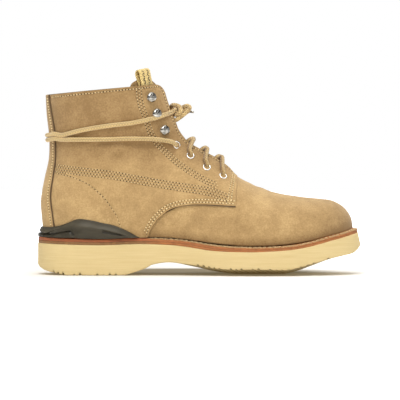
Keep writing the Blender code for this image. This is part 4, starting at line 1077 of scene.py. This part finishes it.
def build_heel_support():
    """Moulded support that cups the heel: a bevelled upper ridge over a stepped lower lip."""
    count = 150
    top = locate_all(resample(smooth_line(STABILIZER_EDGE), count))
    top[0, 1] = 1.0
    t = np.linspace(0, 1, count)
    low = np.stack([HEEL_CORNER + (11.9 - HEEL_CORNER) * t**1.2, np.ones(count)], axis=1)
    rise = fine_ends(46, 0.02)
    u, w = ruled(low, top, rise)
    u, w = np.vstack([u[:0:-1], u]), np.vstack([-w[:0:-1], w])
    base = surface(u, w, 4.0)
    x, z = base[..., 0], base[..., 2]
    groove = bell(beside(x, z, SUPPORT_GROOVE), 0, 0.75)
    wedge = inside(x, z, SUPPORT_WEDGE)
    under = (z < pchip(SUPPORT_GROOVE[:5], x)) * (1 - smoothstep(32, 35, x))
    far = 4.9 - 1.5 * smoothstep(0.62, 1.0, rise) + 0.35 * bell(rise, 0.6, 0.1)
    far = far + 2.0 * (1 - smoothstep(8, 34, x)) - 1.1 * groove - 1.2 * wedge
    far = far + (1.0 + 1.1 * (1 - smoothstep(6, 26, x))) * under
    support = hide_sheet("heel_support", u, w, 2.4, far * (1 - 0.35 * smoothstep(90.0, 97.0, x)),
                         DARK_RUBBER, "dark_rubber", "heel_stabilizer", r=0.9, lumps=0.0)
    # Painted highlight along the ridge, painted shade in the groove and the wedge.
    ridge = bell(rise, 0.72, 0.16) - 0.9 * wedge - groove
    paint(support, "ridge", [ridge, ridge])


# ---------------------------------------------------------------- the sole unit
def sole_outline(count):
    """Closed plan outline of the sole, evenly spaced, with its outward directions."""
    share = 0.5 - 0.5 * np.cos(np.linspace(0, math.pi, 500))
    x = SOLE_START + (SOLE_END - SOLE_START) * share
    y = sole_width(x)
    y[[0, -1]] = 0
    half = np.stack([x, -y], axis=1)
    loop = resample(np.vstack([half, half[::-1][1:] * (1, -1)]), count + 1)[:-1]
    step = np.roll(loop, -1, axis=0) - np.roll(loop, 1, axis=0)
    out = np.stack([step[:, 1], -step[:, 0]], axis=1)
    return loop, out / np.linalg.norm(out, axis=1, keepdims=True)


def over_plan(plan, x, z):
    """Points at heights z over a plan outline, shifted with the boot's middle at x."""
    return np.stack([plan[:, 0], plan[:, 1] + centre(x), z], axis=1)


def spine_of(loop):
    """Where each point of the outline would shrink to, along the middle of the sole."""
    return np.stack([np.clip(loop[:, 0], SOLE_HEEL_R, SOLE_TOE_CENTRE), np.zeros(len(loop))], 1)


def swept_ring(name, profile, material, slot, replaces=None, count=720):
    """Ring round the sole: a number or function of (x, run) for the growth and for the height
    over the seat of each corner of its profile."""
    loop, out = sole_outline(count)
    x, run = loop[:, 0], 700.0 * np.arange(count) / count
    rings = []
    for grow, height in profile:
        g, h = (value(x, run) if callable(value) else np.full(count, value)
                for value in (grow, height))
        rings.append(over_plan(loop + out * g[:, None], x, seat(x) + h))
    points = np.stack(rings, axis=1).reshape(-1, 3)
    faces = quads(count, len(profile), closed=True, looped=True)
    piece = new_piece(name, points, faces, material, slot, replaces, sharp=50)
    paint(piece, "forward", smoothstep(92, 118, points[:, 0]))


def toe_drop(x):
    """How far the welt's outer edge drops towards the toe."""
    return 0.9 * smoothstep(180, 245, x)


def build_welt():
    """Welt, which thickens over the heel support, and the sewn strip that shows in front of it."""
    def top(height, outer):
        return lambda x, run: (height + 0.6 * (1 - smoothstep(88, 110, x)) - outer * toe_drop(x))

    def wave(run):
        return 0.7 * np.sin(2 * math.pi * run / 4.4) + 0.4 * np.sin(2 * math.pi * run / 15.0)

    def shown(grow, height):
        return (lambda x, run: -9.0 + (grow + 9.0 + 0.5 * wave(run)) * smoothstep(94, 108, x),
                lambda x, run: ((height + 0.4 * wave(run)) * smoothstep(94, 108, x) - 0.05
                                - toe_drop(x)))

    low = -WELT_THICK
    swept_ring("welt_strip", [(-24.0, top(-0.3, 0)), (-5.0, top(-0.3, 0)), (-1.2, top(-0.75, 1)),
                              (-0.7, top(-0.95, 1)), (-0.5, top(-1.35, 1)), (-0.5, low + 0.5),
                              (-0.6, low + 0.05), (-24.0, low)], WELT_EDGE, "brown_leather", "welt")
    swept_ring("welt_rand", [(-12.0, -0.5), shown(-7.5, 0.30), shown(-5.6, 0.25), shown(-4.0, 0.15),
                             shown(-2.4, 0.0), shown(-1.4, -0.15), shown(-1.0, -0.40),
                             shown(-0.9, -0.90), (-12.0, -1.3)], RAND, "suede")
    loop, out = sole_outline(900)
    x = loop[:, 0]
    at = over_plan(loop - out * 3.2, x, seat(x) - 0.15 - toe_drop(x))
    up = np.array([0.0, 0.0, 1.0])
    sewn = [stitch(at[i], at[(i + 4) % 900], up, 0.4, 0.2) for i in range(0, 900, 6) if x[i] > 108]
    new_piece("thread_welt", *merge(sewn), THREAD, "lace_cord")


def build_midsole():
    """Leather midsole: a rounded edge and a flat filling inside it."""
    top, low = -WELT_THICK + 0.02, -SOLE_TOP_DROP + 0.05
    swept_ring("midsole_edge", [(-20.0, top), (-1.1, top), (-0.6, top - 0.2), (-0.35, top - 0.7),
                                (-0.35, low + 0.5), (-0.7, low), (-20.0, low)], MIDSOLE_EDGE,
               "brown_leather", "leather_midsole")
    loop, out = sole_outline(160)
    spine, share = spine_of(loop), np.linspace(0, 1, 6)
    rings = []
    for f, drop in [(f, top - 0.1) for f in share] + [(f, low) for f in share[::-1]]:
        plan = spine + (loop - out * 19.5 - spine) * f
        rings.append(over_plan(plan, plan[:, 0], seat(plan[:, 0]) + drop))
    points = np.vstack(rings)
    core = new_piece("midsole_core", points, quads(len(rings), len(loop), closed=True),
                     MIDSOLE_EDGE, "brown_leather", sharp=40)
    paint(core, "forward", smoothstep(92, 118, points[:, 0]))


TREAD_PITCH, TREAD_DEPTH = 5.6, 1.7


def tread(x, y, rim):
    """Depth of the grooves: chevron bars under the heel and the ball, broken by side channels.
    rim is 1 at the sole's edge and 0 at its middle."""
    bar = np.abs(((x + 0.42 * np.abs(y)) / TREAD_PITCH) % 1.0 - 0.5) * 2
    lanes = np.maximum(smoothstep(1.3, 0.7, np.abs(y)), smoothstep(1.2, 0.6, abs(rim - 0.62) * 40))
    zone = smoothstep(12, 15, x) * (1 - smoothstep(86, 90, x))
    zone = zone + smoothstep(146, 150, x) * (1 - smoothstep(276, 280, x))
    return TREAD_DEPTH * zone * np.maximum(smoothstep(0.62, 0.78, bar), lanes * (rim < 0.9))


def build_outsole():
    """Cream wedge: buffed wall, rolled rims and a barred tread."""
    loop, out = sole_outline(780)
    at_x, at_y = loop.T
    top_z = seat(at_x) - SOLE_TOP_DROP + 1.1 * smoothstep(150, 190, at_x)
    flare = 0.1 + 2.6 * smoothstep(240, 300, at_x)
    low_x = at_x + out[:, 0] * flare
    low_z = pchip(SOLE_BOTTOM, low_x) + pchip(CROWN, at_x)
    spine = spine_of(loop)
    worn = smoothstep(-0.25, 0.35, wrinkle(np.stack([low_x, at_y, low_x], -1), 9.0, 2.0))
    # The second list holds painted shade, partly grime, for each ring of the sole.
    rings, dirt_and_painted_dark = [], []

    def add(plan, z, low=0.0):
        rings.append(over_plan(plan, at_x, z))
        dirt_and_painted_dark.append(np.broadcast_to(low, len(loop)))

    for f in (0.0, 0.4, 0.8):
        add(spine + (loop - out * 1.6 - spine) * f, top_z)
    wall = [(1.0, -1.6), (1.0, -0.9), (0.992, -0.35), (0.975, -0.05)]
    wall += [(s, (1 - s) * flare) for s in np.linspace(0.94, 0.06, 16)]
    wall += [(0.03, flare - 0.15), (0.012, flare - 0.5)]
    for s, grow in wall:
        z = low_z + (top_z - low_z) * s
        mark = np.stack([at_x / 46.0, at_y / 46.0, z / 1.6], axis=1)
        streak = 0.07 * wrinkle(mark, 1.0, 3.0) if 0.05 < s < 0.96 else 0.0
        # The notches along the bottom edge get painted shade.
        notch = worn * tread(low_x, at_y, 0.95) * smoothstep(0.10, 0.0, s)
        add(loop + out * (grow + streak - 0.8 * notch)[:, None], z + 0.6 * notch,
            0.85 * smoothstep(0.3, 0.9, notch))
    # The underside gets painted shade, darker still in the tread grooves.
    for f in np.concatenate([[0.994, 0.985], np.linspace(0.97, 0.0, 44)]):
        plan = spine + (loop + out * (flare - 0.9)[:, None] - spine) * f
        x = plan[:, 0]
        deep = tread(x, plan[:, 1], f)
        add(plan, pchip(SOLE_BOTTOM, x) + pchip(CROWN, x) * f**2 + deep,
            0.45 + 0.4 * smoothstep(0.3, 1.2, deep))
    sole = new_piece("outsole_wedge", np.vstack(rings), quads(len(rings), len(loop), closed=True),
                     SOLE_RUBBER, "sole_rubber", "outsole", sharp=38)
    paint(sole, "low", dirt_and_painted_dark)


FOOTBED_START, FOOTBED_END = 18.5, 284.0


def build_footbed():
    """Loose footbed: cloth top, rolled rim and a cupped heel."""
    x = FOOTBED_START + (FOOTBED_END - FOOTBED_START) * (
        0.5 - 0.5 * np.cos(np.linspace(0, math.pi, 150)))
    under_x = FEATHER_HEEL_X + ((x - FOOTBED_START) * (TOE_TIP - FEATHER_HEEL_X)
                                / (FOOTBED_END - FOOTBED_START))
    x = x[:, None]
    t = 2 * fine_ends(44, 0.03) - 1
    y = centre(x) + np.maximum(feather_width(under_x) * 0.78, 0.05)[:, None] * t
    cup = 2.2 * np.abs(t) ** 4 * (1 - smoothstep(60, 110, x))
    arch = 2.6 * np.clip(t, 0, 1) ** 2 * bell(x, 120, 34)
    crown = 1.1 * np.sqrt(np.clip(1 - np.abs(t) ** 10, 0, 1))
    x = np.broadcast_to(x, y.shape)
    top = seat(x) + 5.4 + cup + arch + crown + 0.3 * wrinkle(np.stack([x, y, y], -1), 26)
    points = [np.stack([x, y, z], axis=-1).reshape(-1, 3) for z in (top, seat(x) + 3.1)]
    bed = new_piece("footbed_cloth", np.vstack(points), shell_faces(*y.shape, True, True), CLOTH,
                    "lining", "footbed", "footbed", sharp=60)
    paint(bed, "run", [x, x])
    paint(bed, "turn", [y, y])


# ---------------------------------------------------------------- fittings
def turned(profile, axes, sides, hollow=False):
    """Points and faces of a (radius, height) profile turned round a fitting's outward axis."""
    place, a, b, out = axes
    points = np.vstack([place + ring(a, b, sides) * r + out * h for r, h in profile])
    return points, (quads(len(profile), sides, closed=True, looped=True) if hollow
                    else capped(len(profile), sides))


def eyelet_profile(inner, outer, low, high):
    """Rolled flange round a bore, with a barrel that goes down through the leather."""
    middle, r = 0.5 * (inner + outer), 0.5 * (outer - inner)
    roll = [(middle + r * math.cos(a), high + 0.8 * r * math.sin(a))
            for a in np.linspace(math.pi, 0, 9)]
    return [(inner + 0.35, high - 0.25), (inner + 0.35, low), (inner, low), *roll,
            (outer - 0.2, high - 0.25)]


def build_eyelets(word, side):
    profile = eyelet_profile(2.55, 3.85, -3.4, QUARTER_FAR + 0.15)
    for k, axes in enumerate(hardware_at(EYELETS, side), 1):
        new_piece(f"eyelet_ring_{word}_{k}", *turned(profile, axes, 40, True), SILVER, "chrome",
                  f"eyelet_{word}_{k}", sharp=70)


# Hook, as (radius, height over its base or over its cap's rim).
HOOK_PLATE = ((0.3, 0.0), (3.5, 0.0), (3.65, 0.3), (3.4, 0.62), (0.3, 0.7))
HOOK_CAP = ((0.2, -0.2), (3.6, -0.55), (4.3, -0.75), (4.7, -0.45), (4.8, 0.0), (4.55, 0.5),
            (3.9, 1.05), (3.0, 1.5), (1.9, 1.85), (0.9, 2.0), (0.1, 2.03))
HOOK_NECK = ((-1, -1), (0, -1.2), (1, -1), (1, 1), (0, 1.2), (-1, 1))


def hook_parts(axes):
    """Lace hook: base plate, curled neck and a domed cap with a rolled rim."""
    place, down, across, out = axes
    base = QUARTER_FAR - 0.1
    plate = turned([(r, base + h) for r, h in HOOK_PLATE], axes, 36)
    lid = turned([(r, base + 3.3 + h) for r, h in HOOK_CAP], axes, 40)
    front = -np.sign(place[1]) * across * np.sign(across[1])
    neck = []
    for a in np.linspace(-0.5 * math.pi, 0.5 * math.pi, 12):
        middle = (place + out * (base + 0.35 + 1.45 * (1 + math.sin(a)))
                  + front * (2.2 + 1.3 * math.cos(a)))
        lean = out * math.sin(a) + front * math.cos(a)
        neck += [middle + down * s * 1.9 + lean * f * 0.36 for s, f in HOOK_NECK]
    return merge([plate, lid, (np.array(neck), capped(12, len(HOOK_NECK)))])


def build_hooks(word, side):
    for k, axes in enumerate(hardware_at(HOOKS, side), 1):
        new_piece(f"hook_cap_{word}_{k}", *hook_parts(axes), CHROME, "chrome", f"hook_{word}_{k}",
                  sharp=60)


# ---------------------------------------------------------------- lace
LACE_R, LACE_SIDES, LACE_UNDER = 2.15, 16, -6.1
LACE_RIDE = QUARTER_FAR + LACE_R + 0.15
# The lace round the ankle, as (x, z) seen from the side: back from the top eyelet, then forward
# to the knot, first on the outer side and then on the inner side, where the two strands cross.
OUTER_BACK = ((125.6, 123.6), (118.0, 125.9), (106, 127.9), (89.8, 128.4), (68.1, 127.8),
              (45, 127.5), (26, 127.4))
OUTER_FORWARD = ((26, 131.6), (46.3, 136.8), (68.1, 140.4), (89.8, 143.0), (104.0, 146.0),
                 (111.5, 147.6), (117.0, 149.6))
INNER_BACK = ((125.6, 123.6), (118.0, 126.6), (100, 130.0), (80, 131.0), (60, 132.0), (42, 131.8),
              (26, 131.4))
INNER_FORWARD = ((26, 127.0), (42, 128.6), (60, 134.0), (80, 139.6), (98, 144.4), (111.5, 147.6),
                 (117.0, 149.6))
CROSS_X, CROSS_RISE = 55.0, 3.9


def at_width(u, y, distance):
    """Point at station u and sideways distance y from the middle, near the front."""
    side = 1 if y >= 0 else -1
    return surface(u, side * share_at_width(u, abs(y)), distance)


def crossing(low, high, side, over):
    """Lace from one eyelet up over its facing's edge, across, and under to the next eyelet."""
    (u0, w0), (u1, _) = low, high
    edge0, edge1 = facing_half_gap(u0), facing_half_gap(u1)
    level = 1.6 if over else -2.2
    points = [surface(u0, side * w0 * 0.985, LACE_UNDER)]
    for t, share, distance in ((None, 0.975, -1.0), (0.04, 0.92, 3.0), (0.20, 0.79, 4.9)):
        u = u0 - 0.02 if t is None else u0 + (u1 - u0) * t
        points.append(surface(u, side * w0 * share, distance))
    for t, y, distance in ((0.42, edge0 + 1.8, 4.9), (0.52, edge0 - 1.5, 4.5),
                           (0.58, 6.0, level + 1.0), (0.66, 0.0, level),
                           (0.76, -6.0, level - 1.4), (0.86, 1.4 - edge1, -4.6),
                           (0.95, -3.2 - edge1, LACE_UNDER)):
        points.append(at_width(u0 + (u1 - u0) * t, side * y, distance))
    return points


def on_side(places, side):
    """Lace along one side, raised where its two strands cross."""
    rows = seen_line(places)
    keep = np.linspace(0, len(rows) - 1, max(len(rows) // 3, 2)).astype(int)
    over = CROSS_RISE if places is INNER_FORWARD else 0.0
    return [surface(u, side * w, LACE_RIDE + over * bell(surface(u, side * w)[0], CROSS_X, 9))
            for u, w in rows[keep]]


def round_back(side, z):
    """Across the back from one side to the other, over the backstay."""
    u = np.interp(-z, (-150.0, -129.0, -108.5), (2, 3, 4))
    reach = 20.0 / length_at(u)
    return [surface(u, side * (1 - reach + 2 * reach * t), BACKSTAY_FAR + LACE_R - 0.5)
            for t in np.linspace(0, 1, 13)]


# Free ends, as (x, y, z): the outer one makes the bow, the inner one wraps it and ends in a tip.
BOW = ((124.6, -17.5, 152.0), (129.6, -12.5, 154.6), (135.0, -8.0, 156.6), (140.5, -8.0, 158.8),
       (143.2, -9.5, 157.2), (141.0, -11.5, 153.8), (136.0, -13.0, 149.6), (130.6, -12.0, 145.8),
       (127.2, -6.0, 145.6), (126.6, 2.0, 148.0), (124.6, 10.0, 147.0), (122.0, 16.5, 142.5),
       (121.0, 20.5, 136.5))
WRAP = ((124.0, 17.0, 152.5), (127.0, 10.0, 156.0), (126.0, 2.0, 158.6), (128.6, -7.0, 159.6),
        (133.6, -13.0, 158.0), (134.6, -15.5, 153.6), (131.0, -12.5, 150.6), (129.2, -5.0, 151.4),
        (133.0, 1.0, 153.6), (138.5, 1.0, 154.6), (143.0, -2.0, 153.8))


def lace_half(side, sites):
    """Lace from the lowest crossbar to one free end."""
    points, here = [], side
    for k in range(3):
        points += crossing(sites[k], sites[k + 1], here, (k % 2 == 0) == (side > 0))
        here = -here
    u, w = sites[3]
    points += [surface(u, here * w, LACE_UNDER), surface(u, here * w, -1.0),
               surface(u - 0.01, here * w * 1.05, 2.6)]
    back, forward, level, free = ((INNER_BACK, OUTER_FORWARD, 131.6, BOW) if here > 0
                                  else (OUTER_BACK, INNER_FORWARD, 126.9, WRAP))
    points += on_side(back, here) + round_back(here, level) + on_side(forward, -here)
    return points + [np.array(p) for p in free]


def lace_path():
    """Whole path of the lace, from the outer side's free end to the inner side's."""
    sites = locate_all(EYELETS)
    lateral, medial = lace_half(-1, sites), lace_half(1, sites)
    bar = [at_width(sites[0, 0] + 0.15, y, LACE_UNDER + 1.2) for y in (-9.0, -4.0, 0.0, 4.0, 9.0)]
    path = catmull(lateral[::-1] + bar + medial,
                   np.arange(0, len(lateral) + len(medial) + 4, 0.1))
    return resample(path, pitch=0.8)


def build_lace():
    """Lace, thinner where it passes an eyelet, with painted shade on the rear side of its front
    crossings and between the bow's loops, and its two metal tips.
    """
    path = lace_path()
    holes = [surface(u, side * w) for u, w in locate_all(EYELETS) for side in (-1, 1)]
    near = np.min([np.linalg.norm(path - hole, axis=1) for hole in holes], axis=0)
    points, faces = tube(path, LACE_R - 0.5 * bell(near, 0, 3.0), LACE_SIDES)
    lace = new_piece("lace_cord", points, faces, CORD, "lace_cord", "lace")
    paint(lace, "run", np.repeat(run_along(path), LACE_SIDES))
    paint(lace, "turn", np.tile(2 * math.pi * np.arange(LACE_SIDES) / LACE_SIDES, len(path)))
    # Painted shade: the rear side of the front crossings, and patches round the bow.
    x, z = points[:, 0], points[:, 2]
    front = smoothstep(131, 142, x) * (1 - smoothstep(130, 140, z))
    knot = smoothstep(118, 126, x) * smoothstep(134, 142, z)
    patchy = smoothstep(-0.1, 0.5, wrinkle(points, 5.0, 6.0))
    to_heel = (np.repeat(x.reshape(-1, LACE_SIDES).mean(1), LACE_SIDES) - x) / LACE_R
    shaded = smoothstep(-0.3, 0.7, to_heel)
    paint(lace, "lace_painted_shade", (0.38 + 0.62 * shaded) * front + (0.10 + 0.45 * patchy) * knot)
    along = np.array([-1.2, -0.6, 0.0, 1.5, 3.5, 5.2, 5.8])[:, None]
    radii = np.array([1.2, 1.5, 1.45, 1.15, 1.1, 1.0, 0.5])
    for end, before in ((path[0], path[4]), (path[-1], path[-5])):
        word = "lateral" if end[0] > 135 else "medial"
        new_piece(f"lace_end_{word}", *tube(end + unit(end - before) * along, radii, 14), TIP,
                  "lace_tip", f"lace_tip_{word}", sharp=60)


# ---------------------------------------------------------------- pull loop
LOOP_WIDTH, LOOP_THICK, LOOP_RISE, LOOP_SHIFT = 16.5, 1.2, 13.5, -9.5
LOOP_STATION, LOOP_SIDE = 0.80, 19.5
# Middle line of the webbing, as (height, distance outwards).
LOOP_LINE = ((-1.8, -3.9), (0.8, -4.0), (4.0, -4.6), (0.72 * LOOP_RISE, -5.2),
             (LOOP_RISE - 0.5, -3.8), (LOOP_RISE, -1.8), (0.84 * LOOP_RISE, -0.3), (5.0, -0.3),
             (1.0, -0.3), (-1.8, -0.4))


def build_loop():
    """Webbing folded into a loop, with a plain zigzag of dark thread on its front."""
    w = -share_at_width(LOOP_STATION, LOOP_SIDE)
    _, down, _, out = axes_at(LOOP_STATION, w, back=0.05)
    side = np.cross(out, down)
    origin = surface(LOOP_STATION, w, -4.5) + out * 0.4 + side * LOOP_SHIFT
    path = resample(smooth_line(LOOP_LINE, 20), 90)
    lean = left_of(path)
    across = np.linspace(-1, 1, 17)
    a, face = np.array([(a, 1) for a in across] + [(a, -1) for a in across[::-1]]).T
    thick = face * 0.5 * LOOP_THICK * (1 - 0.55 * np.abs(a) ** 6)
    wide = a * 0.5 * LOOP_WIDTH
    local = path[:, None, :] + lean[:, None, :] * thick[None, :, None]
    points = origin - down * local[..., :1] + out * local[..., 1:] + side * wide[:, None]
    loop = new_piece("loop_webbing", points.reshape(-1, 3), capped(len(path), len(a)), WEBBING,
                     "webbing", "tongue_loop", "pull_loop", sharp=60)
    paint(loop, "run", np.repeat(run_along(path), len(a)))
    paint(loop, "turn", np.tile(wide, len(path)))
    front = [k for k in range(len(path) // 2, len(path))
             if path[k, 1] > -1.4 and path[k, 0] < LOOP_RISE - 0.6]
    dashes = []
    for column in (-3.4, 3.6):
        line = []
        for i, k in enumerate(front[::6]):
            h, d = path[k] + lean[k] * 0.55 * LOOP_THICK * np.sign(lean[k, 1])
            line.append(origin - down * h + out * d + side * (column + (1.7 if i % 2 else -1.7)))
        dashes += [stitch(a + (b - a) * 0.12, b - (b - a) * 0.12, out, 0.40, 0.25)
                   for a, b in zip(line, line[1:])]
    new_piece("loop_zigzag", *merge(dashes), INK, "webbing", body="pull_loop")


# ---------------------------------------------------------------- hidden pieces, from the CAD
HIDDEN = {"steel_shank": STEEL, "cork_filler": CORK, "insole_board": BOARD, "heel_counter": BOARD,
          "eyestay_lateral": BOARD, "eyestay_medial": BOARD, "steel_toe_cap": STEEL}


def dress_hidden():
    rivets = [n for n in frame["nodes"] if n.startswith("hook_rivet")]
    for name, material in [*HIDDEN.items(), *((n, BRASS) for n in rivets)]:
        slots = frame["nodes"][name].data.materials
        slots.clear()
        slots.append(material)


def turn_faces_outwards():
    """Closes each new piece's mesh where its points meet, and turns its faces outwards."""
    for obj in bpy.context.scene.objects:
        if obj.type != "MESH" or obj.name in frame["nodes"]:
            continue
        work = bmesh.new()
        work.from_mesh(obj.data)
        bmesh.ops.remove_doubles(work, verts=work.verts, dist=0.001 * MM)
        bmesh.ops.recalc_face_normals(work, faces=work.faces)
        if work.calc_volume(signed=True) < 0:
            bmesh.ops.reverse_faces(work, faces=work.faces)
        work.to_mesh(obj.data)
        work.free()


# ---------------------------------------------------------------- stage
VIEW_WIDTH, VIEW_CENTRE, VIEW_DISTANCE, VIEW_TILT = 0.379, (0.101, 0.0, 0.0698), 3.0, 1.3


def aim(obj, place, target):
    """Puts a light or a camera at a place, facing the target."""
    obj.location = place
    obj.rotation_euler = (target - Vector(place)).to_track_quat("-Z", "Y").to_euler()


def build_world():
    """White studio: pure white to the camera, softer as light, with dark cards in reflections."""
    world = bpy.data.worlds.new("studio")
    bpy.context.scene.world = world
    world.use_nodes = True
    tree = world.node_tree
    tree.nodes.clear()
    place = new_node(tree, "TexCoord", {}, "Generated")
    cards = new_node(tree, "TexNoise", {"Vector": place, "Scale": 2.7, "Detail": 0.5})
    level = new_node(tree, "MapRange", {"Value": cards, "From Min": 0.43, "From Max": 0.57,
                                        "To Min": 0.03, "To Max": 1.1})
    light = new_node(tree, "Background", {"Color": (1.0, 0.99, 0.965), "Strength": 0.52})
    shiny = new_node(tree, "Background", {"Strength": level})
    seen = new_node(tree, "Background", {"Color": (1.0, 1.0, 1.0)})
    glossy = new_node(tree, "LightPath", {}, "Is Glossy Ray")
    camera = new_node(tree, "LightPath", {}, "Is Camera Ray")
    lit = new_node(tree, "MixShader", {0: glossy, 1: light, 2: shiny})
    new_node(tree, "OutputWorld", {0: new_node(tree, "MixShader", {0: camera, 1: lit, 2: seen})})


def build_floor():
    """White floor with a painted shadow under and behind the boot, lifted by a warm painted glow
    near it, that fades into the white studio away from it.
    """
    mesh = bpy.data.meshes.new("floor")
    mesh.from_pydata([(-4, -4, 0), (4, -4, 0), (4, 4, 0), (-4, 4, 0)], [], [(0, 1, 2, 3)])
    floor = new_object("floor", mesh)
    floor.location.z = -0.0002
    white = Recipe("floor white", 0.9)
    # Painted shadow: a dark ellipse under and behind the boot.
    near = white.from_middle([0.098, 0.052, 0.0], [0.150, 0.085, 1.0])
    shade = white.ramp(near, 0.55, 1.0, "SMOOTHSTEP")
    white.set("Base Color", white.mix(shade, (0.11, 0.09, 0.055), (0.80, 0.80, 0.80)))
    # The warm glow near the boot is painted light inside the painted shadow; far away the floor
    # glows white like the studio.
    away = white.from_middle([0.10, 0.0, 0.0], [1.0, 1.0, 1.0])
    glow = white.ramp(away, 0.22, 0.55, "SMOOTHSTEP")
    white.set("Emission Color", white.mix(glow, (0.140, 0.110, 0.060), (1.0, 1.0, 1.0)))
    white.set("Emission Strength", 1.0)
    mesh.materials.append(white.made)


# Area lights: name, place, size in metres, watts.
LIGHTS = (("key", (0.02, -1.15, 1.45), 0.9, 19.0), ("top", (0.25, 0.10, 1.70), 1.3, 14.0),
          ("back", (0.3, 1.4, 0.9), 1.2, 6.0))


def build_stage():
    build_world()
    build_floor()
    target = Vector(VIEW_CENTRE)
    for name, place, size, watts in LIGHTS:
        light = bpy.data.lights.new(name, "AREA")
        light.size, light.energy = size, watts
        aim(new_object(name, light), place, target)
    camera = bpy.data.cameras.new("camera")
    camera.lens = camera.sensor_width * VIEW_DISTANCE / VIEW_WIDTH
    camera.clip_end = 20
    obj = new_object("camera", camera)
    tilt = math.radians(VIEW_TILT)
    aim(obj, target + Vector((0, -math.cos(tilt), math.sin(tilt))) * VIEW_DISTANCE, target)
    bpy.context.scene.camera = obj
    bpy.context.scene.view_settings.view_transform = "Standard"


# ---------------------------------------------------------------- whole boot
def build_boot():
    both_seams = []
    for word, side in (("lateral", -1), ("medial", 1)):
        both_seams.append(build_quarter(word, side))
        build_quarter_lining(word, side)
        build_eyelets(word, side)
        build_hooks(word, side)
    build_backstay(both_seams)
    both_seams[0].make("lateral")
    both_seams[1].make("medial")
    for build in (build_vamp, build_tongue, build_heel_support, build_welt, build_midsole,
                  build_outsole, build_footbed, build_lace, build_loop, dress_hidden,
                  turn_faces_outwards):
        build()


build_boot()
build_stage()
bpy.context.view_layer.update()
